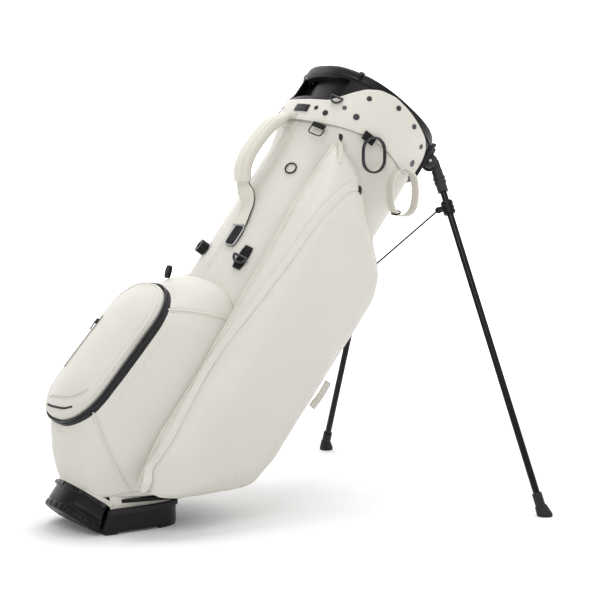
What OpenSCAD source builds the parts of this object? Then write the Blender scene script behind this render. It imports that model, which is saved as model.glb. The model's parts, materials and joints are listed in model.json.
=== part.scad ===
// Leaning golf stand bag: a hinged base plate, a push rod and struts swing two legs out from the back.
// The file's frame has its origin on the ground below the bag's datum, +Z up and +X where the bag leans.
// in_bag() is the bag's own frame: x to the back, y across, z up the tube.

/* [Stance] */
// Lean of the bag from upright while it stands on its legs
lean = 37.5; // [36.5:0.5:38.5]
// Height of the bag's datum above the ground
datum_h = 20; // [19:0.5:21]
// Reach of the rubber feet from the datum along the ground
foot_reach = 685; // [675:5:695]
// Distance of each rubber foot from the bag's mid plane
foot_spread = 340; // [330:5:350]

/* [Tube] */
// Half depth of the tube from front to back
tube_a = 116; // [114:1:117]
// Half width of the tube
tube_b = 107; // [105:1:108]
// Distance of the tube's axis behind the datum
tube_x = 51; // [50:1:52]
// Thickness of the padded fabric wall
wall = 4; // [3:0.5:5]
// Height at which the straight tube starts
tube_low = 110; // [105:5:115]
// Height at which the tube starts to widen towards the cuff
tube_high = 700; // [695:5:705]

/* [Cuff] */
// Half depth of the moulded cuff
cuff_a = 119; // [118:1:120]
// Half width of the moulded cuff
cuff_b = 124; // [123:1:125]
// Distance of the cuff's axis behind the datum
cuff_x = 41; // [40:1:42]
// Height of the cuff's top edge
cuff_top = 870; // [868:1:874]
// Height of the cuff's lower edge
cuff_low = 786; // [784:1:788]
// Thickness of the cuff's wall
cuff_wall = 10; // [8:1:12]
// Thickness of the leather cover round the cuff
cover_t = 3; // [2.5:0.5:3.5]

/* [Base] */
// Reach of the base in front of its centre
base_front = 90; // [88:1:92]
// Reach of the base behind its centre
base_back = 124; // [122:1:126]
// Half width of the base
base_b = 82; // [80:1:84]
// Distance of the base's centre behind the datum
base_x = 28; // [27:1:29]
// Height of the base plate on the ground, with its collar
plate_h = 41; // [40:1:42]
// Radius of the base hinge pin
hinge_pin_r = 2.5; // [2:0.5:3]

/* [Stand] */
// Distance of each leg pivot behind the datum
pivot_x = 163; // [162:1:164]
// Distance of each leg pivot from the mid plane
pivot_y = 70; // [69:1:71]
// Height of each leg pivot
pivot_z = 841; // [838:1:843]
// Distance between a leg's axis and its pivot
leg_offset = 8; // [7:1:9]
// Radius of a leg tube
leg_r = 6; // [5:0.5:6.5]
// Distance along the leg from its pivot to the strut's pin
crank = 88; // [84:1:92]
// Radius of a strut wire
strut_r = 1.6; // [1.4:0.1:2]
// Radius of the push rod
rod_r = 3; // [2.5:0.5:3]
// Running clearance of pins and shafts
run = 0.05; // [0.03:0.01:0.08]

/* [Hidden] */

outline_steps = 72;
squareness = 2.4;
fit_gap = 0.4;
hinge_z = -10;          // the base hinge's height in the bag's frame
knuckle_r = 6;
hinge_half = 62;        // half the length of the base hinge
rod_x = tube_x + tube_a + 6;
yoke_z = 556;
yoke_x = tube_x + tube_a + 17;
strut_y = 9;
link_top_z = 200;
link_pin_x = 100;       // the link's pin on the plate, measured from the hinge with the plate in line
link_pin_z = 20;
rod_low_x = 158;

// Where a rubber foot stands, in the bag's frame
foot_x = foot_reach * cos(lean) + (datum_h - 8) * sin(lean);
foot_z = foot_reach * sin(lean) - (datum_h - 8) * cos(lean);
swing_turn = atan2(foot_spread - pivot_y, foot_x - pivot_x);
swing_out = norm([foot_x - pivot_x, foot_spread - pivot_y]);
leg_span = norm([swing_out, pivot_z - foot_z]);
leg_open = atan2(swing_out, pivot_z - foot_z) - asin(leg_offset / leg_span);
leg_len = sqrt(leg_span * leg_span - leg_offset * leg_offset);

// ---------- frames and shared shapes ----------

module in_bag() translate([0, 0, datum_h]) rotate([0, lean, 0]) children();

module side(s) if (s > 0) children(); else mirror([0, 1, 0]) children();

// Frame of one leg: x' outward, y' along the hinge pin, z' up the tube; side 1 is the far leg
module at_leg_pivot(s)
    in_bag() side(s) translate([pivot_x, pivot_y, pivot_z]) rotate([0, 0, swing_turn]) children();

// Frame along an open leg: -z' runs down the leg from the pivot's level
module along_leg(s)
    at_leg_pivot(s) rotate([0, -leg_open, 0]) translate([leg_offset, 0, 0]) children();

function power(v, p) = sign(v) * pow(abs(v), p);
function outline(a, b, x, n = squareness) =
    [for (i = [0 : outline_steps - 1]) let (t = 360 * i / outline_steps)
        [x + a * power(cos(t), 2 / n), b * power(sin(t), 2 / n)]];

// Plan of the base: rounder in front than behind
base_round = 2.3;
base_square = 4;
function base_outline(grow) =
    [for (i = [0 : outline_steps - 1])
        let (t = 360 * i / outline_steps, n = cos(t) < 0 ? base_round : base_square)
        [base_x + ((cos(t) < 0 ? base_front : base_back) + grow) * power(cos(t), 2 / n),
         (base_b + grow) * power(sin(t), 2 / n)]];

// Puts a child on an outline at parameter angle t, with x' along the outward normal
module on_outline(a, b, x, t, z, n = squareness) {
    p = [x + a * power(cos(t), 2 / n), b * power(sin(t), 2 / n)];
    away = [power(cos(t), 2 - 2 / n) / a, power(sin(t), 2 - 2 / n) / b];
    translate([p[0], p[1], z]) rotate([0, 0, atan2(away[1], away[0])]) children();
}
module on_tube(t, z) on_outline(tube_a, tube_b, tube_x, t, z) children();
module on_cover(t, z) on_outline(cuff_a + 0.3 + cover_t, cuff_b + 0.3 + cover_t, cuff_x, t, z) children();

module ring_wall(a, b, x, t, z0, z1)
    translate([0, 0, z0]) linear_extrude(z1 - z0) difference() {
        polygon(outline(a, b, x));
        polygon(outline(a - t, b - t, x));
    }

// Wedge of the plan between two angles about the tube's axis
module sector(from, to, z0, z1)
    translate([tube_x, 0, z0]) linear_extrude(z1 - z0)
        polygon([[0, 0], for (i = [0 : 4]) let (t = from + (to - from) * i / 4) 300 * [cos(t), sin(t)]]);

module tube_solid(grow = 0, z0 = -100, z1 = 900)
    translate([0, 0, z0]) linear_extrude(z1 - z0) polygon(outline(tube_a + grow, tube_b + grow, tube_x));

// Space that the base plate needs under the bag
module plate_room()
    translate([14, -200, -100]) cube([400, 400, 100 + plate_h + 7]);

module rounded_plate(w, h, r, t)
    linear_extrude(t) hull() for (x = [r, w - r], y = [r - h / 2, h / 2 - r])
        translate([x, y]) circle(r, $fn = 32);

module torus(major, minor)
    rotate_extrude($fn = 48) translate([major, 0]) circle(minor, $fn = 16);

// Flat ring of round wire shaped as a slot, lying in the x-z plane
module oval_ring(half_len, half_wid, wire) {
    straight = half_len - half_wid;
    for (s = [-1, 1]) {
        translate([s * (half_wid - wire), 0, -straight]) cylinder(r = wire, h = 2 * straight, $fn = 24);
        translate([0, 0, s * straight]) rotate([0, s < 0 ? 180 : 0, 0]) rotate([90, 0, 0])
            rotate_extrude(angle = 180, $fn = 48) translate([half_wid - wire, 0]) circle(wire, $fn = 24);
    }
}

// ---------- tube ----------

module panel(from, to) color("ivory") in_bag() intersection() {
    ring_wall(tube_a, tube_b, tube_x, wall, tube_low + fit_gap, tube_high - fit_gap);
    sector(from, to, tube_low, tube_high);
}
module front_panel() panel(135.2, 224.8);
module back_panel() difference() {
    panel(-44.8, 44.8);
    plate_room();
    link_slot();
}
module near_side_panel() difference() { panel(225.2, 314.8); plate_room(); }
module far_side_panel() difference() { panel(45.2, 134.8); plate_room(); }

// Slot in the tube's back corner for the drag link
module link_slot()
    in_bag() translate([130, -9, 60]) cube([60, 18, 206]);

// Tapered skirt from the tube down to the base, cut level over the base plate
module lower_skirt() color("ivory") difference() {
    in_bag() difference() {
        skirt_solid(0);
        skirt_solid(wall);
    }
    plate_room();
    link_slot();
}
module skirt_solid(inset) hull() {
    translate([0, 0, tube_low - 1]) linear_extrude(1)
        polygon(outline(tube_a - inset, tube_b - inset, tube_x));
    translate([0, 0, 26 - inset / 4]) linear_extrude(1)
        polygon(base_outline(-1 - inset));
}

// Flared collar from the tube up to the cuff
module upper_collar() color("ivory") in_bag() difference() {
    collar_solid(0);
    collar_solid(wall);
}
module collar_solid(inset) hull() {
    translate([0, 0, tube_high - inset / 4]) linear_extrude(1)
        polygon(outline(tube_a - inset, tube_b - inset, tube_x));
    translate([0, 0, cuff_low - 8]) linear_extrude(1 + inset / 4)
        polygon(outline(cuff_a - 4 - inset, cuff_b - 2 - inset, cuff_x));
}

module front_stay() color("dimgray") in_bag()
    translate([tube_x - tube_a + wall + 0.6, -7, tube_low + 2]) cube([4, 14, cuff_low - 18 - tube_low]);

// Channel on the tube's back that guides the push rod and its yoke
spine_low = 268;
spine_len = 450;
module back_spine() color("dimgray") in_bag() difference() {
    translate([tube_x + tube_a + 0.3, -13, spine_low]) cube([12, 26, spine_len]);
    translate([rod_x - 4.5, -9, spine_low - 1]) cube([9, 18, spine_len - 2]);
    translate([rod_x, -4, spine_low - 1]) cube([20, 8, spine_len - 2]);
}

// Padded floor under the clubs, level over the base plate and square to the tube in front
module club_floor() color("darkgray") difference() {
    intersection() {
        union() {
            translate([15, -120, plate_h + 9]) cube([300, 240, 6]);
            in_bag() translate([-80, -120, 28.5]) cube([84, 240, 5]);
        }
        union() {
            in_bag() skirt_solid(wall + 1);
            in_bag() tube_solid(-wall - 1, tube_low, 300);
        }
    }
    translate([100, -9, plate_h]) cube([240, 18, 30]);
}

// ---------- cuff ----------

module top_cuff() color("#262626") in_bag() difference() {
    ring_wall(cuff_a, cuff_b, cuff_x, cuff_wall, cuff_low, cuff_top);
    translate([cuff_x - cuff_a - 10, -grip_half, grip_low]) cube([70, 2 * grip_half, grip_high - grip_low]);
}

// Window of the front grab handle, and the closed recess behind it for the hand
grip_half = 78;
grip_low = 804;
grip_high = 850;
recess_depth = 24;

// Frame across the cuff: a ring, two cross bars with a short bar between them, and the recess wall
divider_z = cuff_top - 24;
bar_out = 36;           // distance of each cross bar from the cuff's middle
bar_t = 10;
bar_h = 18;
module divider_frame() color("#303030") in_bag() {
    inner_a = cuff_a - cuff_wall - 0.2;
    inner_b = cuff_b - cuff_wall - 0.2;
    recess_x = cuff_x - inner_a + recess_depth;
    ring_wall(inner_a, inner_b, cuff_x, 4, divider_z + 2, divider_z + 16);
    intersection() {
        union() {
            for (s = [-1, 1])
                translate([cuff_x + s * bar_out - bar_t / 2, -cuff_b, divider_z])
                    cube([bar_t, 2 * cuff_b, bar_h]);
            translate([recess_x, -cuff_b, grip_low - 4]) cube([3, 2 * cuff_b, divider_z + 16 - grip_low]);
            translate([recess_x - 60, -cuff_b, grip_low - 4]) cube([61, 2 * cuff_b, 3]);
        }
        translate([0, 0, cuff_low]) linear_extrude(cuff_top - cuff_low)
            polygon(outline(inner_a - 1, inner_b - 1, cuff_x));
    }
    translate([cuff_x - bar_out + bar_t / 2 - 0.5, -5, divider_z]) cube([2 * bar_out - bar_t + 1, 10, bar_h]);
}

// Three full-length fabric sheets below the frame
sheet_low = 240;
sheet_half = 92;
module divider_sheets() color("#3a3a3a") in_bag() {
    sheet_h = divider_z - 1 - sheet_low;
    for (s = [-1, 1])
        translate([cuff_x + s * bar_out - 1, -sheet_half, sheet_low]) cube([2, 2 * sheet_half, sheet_h]);
    translate([cuff_x - bar_out + 2, -1, sheet_low]) cube([2 * bar_out - 4, 2, sheet_h]);
}

// Side profile of the leather cover: low in front, high at the sides, dropping to the back
function cover_profile() = [
    [-120, 752], [-120, 794], [-68, 800], [-45, 836], [-20, 859], [7, 866], [37, 864], [70, 857],
    [112, 849], [126, 826], [132, 797], [120, 786], [96, 776], [40, 780], [8, 779], [-20, 771], [-60, 754],
];
module cuff_cover() color("ivory") in_bag() intersection() {
    ring_wall(cuff_a + 0.3 + cover_t, cuff_b + 0.3 + cover_t, cuff_x, cover_t, 740, 880);
    rotate([90, 0, 0]) translate([0, 0, -200]) linear_extrude(400) polygon(cover_profile());
}

// A rivet head on the surface it is placed on
module rivet_head(r, h = 2) rotate([0, 90, 0]) translate([0, 0, 0.2]) cylinder(r = r, h = h, $fn = 32);

// Outline angle, height and radius of the cover's rivets on the near side, front to back
rivets = [[201, 779, 4], [212, 775, 5], [225, 797, 4], [238, 793, 5.5], [239, 833, 4.5],
          [263, 851, 4.5], [278, 846, 4.5], [296, 832, 4.5], [298, 799, 6]];
module cuff_rivets() color("dimgray") in_bag()
    for (s = [1, -1], r = rivets) side(s) on_cover(r[0], r[1]) rivet_head(r[2]);

module cuff_plate() color("#333333") in_bag()
    translate([cuff_x - cuff_a - cover_t - 3.3, -26, 776]) cube([2, 52, 14]);

// ---------- base ----------

// Plan of the base; the shell keeps the front part and the plate the back part
module base_plan(grow = 0) polygon(base_outline(grow));

// Round scoops in the shell's sides
scoop_r = 48;
scoop_depth = 6;
module base_shell() color("#222222") in_bag() difference() {
    union() {
        intersection() {
            difference() {
                translate([0, 0, -20]) linear_extrude(38.8) base_plan();
                translate([0, 0, -13]) linear_extrude(50) base_plan(-6);
                for (s = [-1, 1]) translate([-32, s * (base_b + scoop_r - scoop_depth), 4])
                    sphere(r = scoop_r, $fn = 96);
            }
            shell_side();
        }
        intersection() {
            for (s = [-1, 1]) hull() {
                translate([0, s * 48 - 12, hinge_z]) rotate([-90, 0, 0])
                    cylinder(r = knuckle_r, h = 24, $fn = 32);
                translate([-22, s * 48 - 12, -17]) cube([4, 24, 14]);
            }
            translate([-60, -100, -20]) cube([80, 200, 60]);
        }
    }
    translate([0, -hinge_half, hinge_z]) rotate([-90, 0, 0])
        cylinder(r = hinge_pin_r, h = 2 * hinge_half, $fn = 32);
    translate([0, -34, hinge_z]) rotate([-90, 0, 0]) cylinder(r = knuckle_r + 1.5, h = 68, $fn = 48);
}
// Everything in front of the split between the shell and the plate
module shell_side() rotate([90, 0, 0]) translate([0, 0, -120]) linear_extrude(240)
    polygon([[-120, -40], [-2, -40], [-2, hinge_z], [-16, 30], [-120, 30]]);

module base_collar() color("#1c1c1c") in_bag() intersection() {
    translate([0, 0, 19]) linear_extrude(6.5) difference() {
        base_plan(3);
        base_plan(-5);
    }
    shell_side();
}

module base_rivets() color("dimgray") in_bag()
    for (t = [-148, -118, 118, 148, 180])
        on_outline(base_front + 3, base_b + 3, base_x, t, 22, base_round) rivet_head(3.5, 1.6);

module base_hinge_pin() color("silver") in_bag()
    translate([0, -hinge_half + 0.5, hinge_z]) rotate([-90, 0, 0])
        cylinder(r = hinge_pin_r, h = 2 * hinge_half - 1, $fn = 32);

// ---------- pockets ----------

// Outline of a side pocket in side view, drawn in at its front f, its back b and its top t
function pocket_profile(f, b, t) = [
    [-46 + f, 742 - t], [-48 + f, 600], [-36 + f, 425], [-18 + f, 160], [-2 + f, 62 + b],
    [130, 150 + b], [160 - b / 2, 178 + b], [177 - b, 232 + b / 2], [179 - b, 400],
    [181 - b, 500], [178 - b, 560 - b / 2], [163 - b, 603 - b], [133 - b, 640 - b - t / 4],
    [60 - b / 2, 700 - b - t / 2], [16, 740 - t],
];
module pocket_slab(y, f, b, t)
    translate([0, y + 0.5, 0]) rotate([90, 0, 0]) linear_extrude(1) polygon(pocket_profile(f, b, t));

// Pocket on the tube's side, drawn in by the thickness of its skin
pocket_skin = 3;
module pocket_body(in) difference() {
    hull() {
        pocket_slab(98 + in, 12 + in, 22 + in, 25 + in);
        pocket_slab(112, in, 3 + in, in);
        pocket_slab(130, 6 + in, in, 40 + in);
        pocket_slab(148 - in / 2, 22 + in, 10 + in, 80 + in);
        pocket_slab(164 - in, 50 + in, 38 + in, 140 + in);
    }
    tube_solid(0.6 + in);
    collar_room(in);
}
module side_pocket(s) color("ivory") difference() {
    in_bag() side(s) pocket_body(0);
    plate_room();
    difference() {
        in_bag() side(s) pocket_body(pocket_skin);
        translate([0, 0, pocket_skin]) plate_room();
    }
}
// Space of the flared collar and the cuff cover above the pocket
module collar_room(in) hull() {
    translate([0, 0, tube_high - 6]) linear_extrude(1)
        polygon(outline(tube_a + 0.6 + in, tube_b + 0.6 + in, tube_x));
    translate([0, 0, cuff_low]) linear_extrude(80) polygon(outline(cuff_a + 5, cuff_b + 5, cuff_x));
}
module near_pocket() color("ivory") difference() {
    side_pocket(-1);
    in_bag() zip_slot(front_zip, front_turn, front_run, front_pull);
    in_bag() zip_slot(side_zip, side_turn, side_run, side_pull);
}
module far_pocket() side_pocket(1);

// Frame of the ball pocket's door: z' up the door, -x' out of the pocket
door_low = [-134, 98];
door_high = [-118, 376];
door_tilt = atan2(door_high[0] - door_low[0], door_high[1] - door_low[1]);
door_h = norm(door_high - door_low);
door_w = 168;
door_corner = 74;
door_t = 12;
door_crown = 20;
zip_w = 7;
module at_door() in_bag() translate([door_low[0], 0, door_low[1]]) rotate([0, door_tilt, 0]) children();
module door_plate(t, inset = 0) rotate([0, -90, 0])
    translate([inset, 0, 0])
        rounded_plate(door_h - 2 * inset, door_w - 2 * inset, max(door_corner - inset, 14), t);

// Ball pocket in front: widest at the back, tapered to the base and sloped on top
module ball_slab(y, points) translate([0, y + 0.5, 0]) rotate([90, 0, 0]) linear_extrude(1) polygon(points);
module ball_body(in) hull() for (s = [-1, 1]) {
    ball_slab(s * 34, [[-70 + in, 28 + in], [-116 + in, 66 + in], [-134 + in, 98 + in], [-116 + in, 378 - in],
                       [-122 + in, 392 - in], [-66, 432 - in], [-10, 432 - in], [-10, 28 + in]]);
    ball_slab(s * (76 - in), [[-38, 34 + in], [-82 + in, 66 + in], [-116 + in, 104 + in], [-106 + in, 374 - in],
                              [-112 + in, 390 - in], [-50, 428 - in], [-18, 430 - in], [-18, 34 + in]]);
    ball_slab(s * (90 - in), [[-22, 44 + in], [-74 + in, 92], [-96 + in, 130], [-94 + in, 340],
                              [-86 + in, 388 - in],
                              [-40, 422 - in], [-26, 424 - in], [-18, 44 + in]]);
}
module ball_pocket() color("ivory") difference() {
    in_bag() difference() {
        ball_body(0);
        tube_solid(0.6, -50, 500);
        hull() {
            translate([0, 0, tube_low]) linear_extrude(1) polygon(outline(tube_a + 1, tube_b + 1, tube_x));
            translate([0, 0, 20]) linear_extrude(1) base_plan(1);
        }
        side(1) pocket_front_room();
        side(-1) pocket_front_room();
        difference() {
            ball_body(pocket_skin);
            tube_solid(0.6 + pocket_skin, -50, 500);
        }
    }
    at_door() translate([-60 + zip_w + 0.4, -200, -100]) cube([60, 400, 600]);
}
// Space of a side pocket's front gusset, so the two pockets don't share it
module pocket_front_room() hull() {
    pocket_slab(90, 10, 10, 20);
    pocket_slab(112, -3, 0, 0);
}

module ball_pocket_zip() color("#202020") at_door() translate([zip_w, 0, 0]) difference() {
    door_plate(zip_w - 0.4);
    translate([1, 0, 0]) door_plate(zip_w + 2, 7);
}

module door_body(in) hull() {
    translate([in > 0 ? 2 : 0, 0, 0]) door_plate(1, 4 + in);
    translate([-door_t, 0, 0]) door_plate(1, 3 + in);
    translate([-door_t - door_crown / 2 + in, 0, 2]) door_plate(1, 30 + in / 2);
    translate([-door_t - door_crown + in, 0, -8]) door_plate(1, 60);
}
module ball_pocket_door() color("ivory") at_door() difference() {
    door_body(0);
    door_body(pocket_skin);
}
coin_zip = [-door_t - door_crown + 3, 50, 178];
module coin_zip_slider() color("#333333") at_door() translate(coin_zip) {
    translate([0, -3, -5]) cube([3, 6, 10]);
    translate([0, -2, -24]) cube([1.6, 4, 18.5]);
}

module zip_slider(len) {
    translate([-4, -2, -6]) cube([8, 4, 11]);
    translate([-4.5, -3.2, -6 - len]) cube([9, 2, len + 3]);
}
// Sliders of the near pocket's two zips: place, turn, travel and length of the pull
front_zip = [-41, -117, 744];
front_turn = [-20, -23, 0];
front_run = [-2, 0, -100];
front_pull = 40;
side_zip = [32, -137, 690];
side_turn = [-14, -lean, 0];
side_run = [-20.5, 0, -56.4];
side_pull = 46;
module front_zip_slider() color("#d8d4c8") in_bag()
    translate(front_zip) rotate(front_turn) zip_slider(front_pull);
module side_zip_slider() color("#d8d4c8") in_bag()
    translate(side_zip) rotate(side_turn) zip_slider(side_pull);

// Slot in the pocket's skin for a slider and its pull all along the travel
module zip_slot(place, turn, travel, len) hull() for (p = [place, place + travel])
    translate(p) rotate(turn) translate([-5, -3.7, -6.5 - len]) cube([10, 6.3, len + 12]);

// ---------- straps, rings and trim ----------

// Square-section strap along a list of points
module strap(points, w, t) for (i = [0 : len(points) - 2]) hull() for (p = [points[i], points[i + 1]])
    translate(p) cube([t, w, t], center = true);

handle_top = [-84, 8, 748];
handle_bottom = [-76, 4, 590];
module carry_handle() color("ivory") in_bag() {
    strap([handle_top, [-100, 7, 722], [-106, 6, 680], [-104, 5, 634], [-92, 4, 606], handle_bottom], 26, 9);
}

module handle_anchors() color("ivory") in_bag() {
    translate([cuff_x - cuff_a - cover_t - 6.6, -10, 757]) cube([6, 36, 14]);
    translate([-76, -20, 534]) cube([10, 36, 46]);
}

// Black webbing tabs that hold the rings, each flat on the tube
module tab(w, h, t) translate([0.3, -w / 2, -h / 2]) cube([t, w, h]);
module hardware_straps() color("#202020") in_bag() {
    on_tube(186, 510) tab(34, 14, 3);
    on_tube(215, 496) tab(10, 40, 3);
    on_cover(204, 745) translate([-4, 0, 0]) tab(16, 12, 2);
    on_cover(256, 767) translate([-3, 0, 0]) tab(20, 10, 2);
}

module strap_socket() color("#1c1c1c") in_bag() on_tube(165, 486) rotate([0, 90, 0]) difference() {
    translate([0, 0, 0.5]) cylinder(r = 12, h = 14, $fn = 48);
    translate([0, 0, 6]) cylinder(r = 6, h = 12, $fn = 48);
}

module eyelet() color("#1c1c1c") in_bag() on_tube(202, 669) rotate([0, 90, 0]) difference() {
    translate([0, 0, 0.3]) cylinder(r = 11, h = 2, $fn = 48);
    cylinder(r = 7, h = 4, $fn = 48);
}

module back_tab() color("ivory") in_bag()
    translate([182, -126, 350]) cube([18, 3, 52]);

module pocket_pull_loop() color("#1c1c1c") in_bag()
    translate([-106, 24, 409]) rotate([0, 35, 0]) cube([4, 16, 18]);

umbrella_top = [86, -134, 773];
umbrella_strap_w = 23;
umbrella_half_len = 41;
umbrella_half_wid = 27;
module umbrella_loop() color("ivory") in_bag() translate(umbrella_top) rotate([0, -lean + 4, 0])
    translate([0, 7.5 - umbrella_strap_w / 2, -umbrella_half_len])
        rotate([90, 0, 0]) linear_extrude(umbrella_strap_w, center = true) difference() {
            oval_plan(umbrella_half_len, umbrella_half_wid);
            oval_plan(umbrella_half_len - 3, umbrella_half_wid - 3);
        }
module oval_plan(half_len, half_wid) {
    square([2 * half_wid, 2 * (half_len - half_wid)], center = true);
    for (s = [-1, 1]) translate([0, s * (half_len - half_wid)]) circle(half_wid, $fn = 48);
}

ring_hang = [8, -132, 779];
module towel_ring() color("#3c3c3c") in_bag() translate(ring_hang) rotate([0, -lean, 0])
    translate([0, 0, -28]) oval_ring(30, 21, 2.6);

// Half round ring hanging from a straight bar along y
module half_ring(w, wire) {
    translate([0, -w / 2, 0]) rotate([-90, 0, 0]) cylinder(r = wire, h = w, $fn = 24);
    rotate([0, 90, 0]) rotate([0, 0, -90]) rotate_extrude(angle = 180, $fn = 48)
        translate([w / 2, 0]) circle(wire, $fn = 24);
}
module cuff_ring() color("#4a4a4a") in_bag() on_cover(215, 808) translate([6, 0, 0]) half_ring(22, 1.8);
module collar_ring() color("#303030") in_bag() on_cover(204, 738) translate([1, 0, 0]) half_ring(20, 1.8);
module strap_ring() color("#303030") in_bag() on_tube(215, 488) translate([6.5, 0, 0]) half_ring(24, 2.2);

// ---------- stand ----------

cheek_r = 13;
cheek_in = 7.2;
cheek_out = 11;
module stand_bracket() color("#2a2a2a") difference() {
    union() {
        in_bag() intersection() {
            ring_wall(cuff_a + 8, cuff_b + 8, cuff_x, 7.6, 798, 868);
            sector(-43, 43, 790, 870);
        }
        for (s = [-1, 1]) at_leg_pivot(s) {
            rotate([90, 0, 0]) translate([0, 0, -cheek_out]) cylinder(r = cheek_r, h = 2 * cheek_out, $fn = 48);
            translate([-20, -cheek_out, 4]) cube([18, 2 * cheek_out, 20]);
        }
    }
    for (s = [-1, 1]) at_leg_pivot(s) rotate([90, 0, 0]) {
        translate([0, 0, -cheek_in]) cylinder(r = cheek_r + 2, h = 2 * cheek_in, $fn = 48);
        translate([0, 0, -12]) cylinder(r = 2.5, h = 24, $fn = 32);
    }
    in_bag() translate([0, 0, 700]) linear_extrude(250) polygon(outline(cuff_a + 0.4, cuff_b + 0.4, cuff_x));
}
module bracket_screws() color("silver") for (s = [-1, 1]) at_leg_pivot(s) rotate([90, 0, 0]) {
    translate([0, 0, -13]) cylinder(r = 2.5, h = 24, $fn = 32);
    translate([0, 0, 11.05]) cylinder(r = 4.5, h = 2, $fn = 32);
}

module leg_arm(s) color("#3a3a3c") difference() {
    union() {
        at_leg_pivot(s) rotate([90, 0, 0]) translate([0, 0, -7]) cylinder(r = 10, h = 14, $fn = 48);
        along_leg(s) translate([-7.5, -6.5, -24]) cube([15, 13, 24]);
        along_leg(s) translate([0, 0, -58]) cylinder(r = 9.5, h = 41, $fn = 48);
        along_leg(s) for (z = [-34, -42]) translate([0, 0, z]) cylinder(r = 11, h = 4, $fn = 48);
    }
    at_leg_pivot(s) rotate([90, 0, 0]) translate([0, 0, -12]) cylinder(r = 2.5 + run, h = 24, $fn = 32);
    along_leg(s) translate([0, 0, -62]) cylinder(r = leg_r, h = 38, $fn = 48);
}
module leg_tube(s) color("#141414") along_leg(s)
    translate([0, 0, -leg_len + 10]) difference() {
        cylinder(r = leg_r, h = leg_len - 10 - 24.5, $fn = 48);
        translate([0, 0, -1]) cylinder(r = leg_r - 1.2, h = leg_len, $fn = 48);
    }
// Collar with two ears and a pin for the strut's eye
pin_back = 18;
module leg_clamp(s) color("#2c2c2e") along_leg(s) {
    difference() {
        union() {
            translate([0, 0, -crank - 12]) cylinder(r = 10, h = 24, $fn = 48);
            for (z = [-10, -2, 6]) translate([0, 0, -crank + z]) cylinder(r = 11, h = 4, $fn = 48);
            for (y = [-5.7, 3.5]) translate([-pin_back - 3, y, -crank - 4]) cube([14, 2.2, 8]);
        }
        translate([0, 0, -crank - 20]) cylinder(r = leg_r, h = 40, $fn = 48);
    }
    translate([-pin_back, -4, -crank]) rotate([-90, 0, 0]) cylinder(r = 1.5, h = 8, $fn = 32);
}
module leg_foot(s) color("#181818") difference() {
    union() {
        along_leg(s) translate([0, 0, -leg_len + 6]) cylinder(r = 8.5, h = 26, $fn = 48);
        hull() {
            along_leg(s) translate([0, 0, -leg_len + 8]) cylinder(r = 10, h = 2, $fn = 32);
            translate([foot_reach + 4, s * (foot_spread + 2), 0]) cylinder(r = 13, h = 5, $fn = 32);
        }
    }
    along_leg(s) translate([0, 0, -leg_len + 10]) cylinder(r = leg_r, h = 60, $fn = 48);
}
module near_leg_arm() leg_arm(-1);
module near_leg_tube() leg_tube(-1);
module near_leg_clamp() leg_clamp(-1);
module near_leg_foot() leg_foot(-1);
module far_leg_arm() leg_arm(1);
module far_leg_tube() leg_tube(1);
module far_leg_clamp() leg_clamp(1);
module far_leg_foot() leg_foot(1);

module rod(from, to, r) {
    d = to - from;
    translate(from) rotate([0, 0, atan2(d[1], d[0])]) rotate([0, acos(d[2] / norm(d)), 0])
        cylinder(r = r, h = norm(d), $fn = 32);
}

// Strut pin of a leg, in the bag's frame
pin_out = leg_offset - pin_back;
pin_h = pin_out * cos(leg_open) + crank * sin(leg_open);
function strut_top(s) = [
    pivot_x + pin_h * cos(swing_turn),
    s * (pivot_y + pin_h * sin(swing_turn)),
    pivot_z + pin_out * sin(leg_open) - crank * cos(leg_open),
];
function strut_low(s) = [yoke_x, s * strut_y, yoke_z];
eye_r = 4.4;
module strut(s) color("#2a2a2a") {
    run_dir = strut_top(s) - strut_low(s);
    in_bag() rod(strut_low(s), strut_top(s) - eye_r * run_dir / norm(run_dir), strut_r);
    in_bag() translate(strut_low(s)) sphere(r = 3, $fn = 32);
    along_leg(s) translate([-pin_back, 0, -crank]) rotate([90, 0, 0]) torus(eye_r, strut_r);
}
module near_strut() strut(-1);
module far_strut() strut(1);

// Push rod in the spine, stepped inwards to an eye for the drag link's pin
knee_z = 262;
module push_rod() color("silver") in_bag() difference() {
    union() {
        translate([rod_x, 0, knee_z]) cylinder(r = rod_r, h = yoke_z - 16 - knee_z, $fn = 32);
        rod([rod_low_x, 0, link_top_z + 3], [rod_x, 0, knee_z + 2], rod_r - 0.2);
        translate([rod_low_x, 0, link_top_z]) rotate([90, 0, 0])
            cylinder(r = 6, h = 6, center = true, $fn = 48);
    }
    translate([rod_low_x, 0, link_top_z]) rotate([90, 0, 0])
        cylinder(r = link_pin_r + run, h = 10, center = true, $fn = 32);
}
// Fork on the rod; each strut's ball may drop below its seat by the play while the legs swing
strut_play = 10;
module rod_yoke() color("#303030") in_bag() difference() {
    union() {
        translate([rod_x - 4, -8.5, yoke_z - 26]) cube([8, 17, 40]);
        translate([rod_x + 3, -3.5, yoke_z - 10]) cube([8, 7, 20]);
        translate([yoke_x - 4, -15, yoke_z - 20]) cube([8, 30, 26]);
    }
    translate([rod_x, 0, yoke_z - 40]) cylinder(r = rod_r, h = 26, $fn = 32);
    for (s = [-1, 1]) translate([yoke_x - 10, s > 0 ? 4.5 : -24.5, yoke_z - 4 - strut_play]) cube([20, 20, 40]);
}

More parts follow.
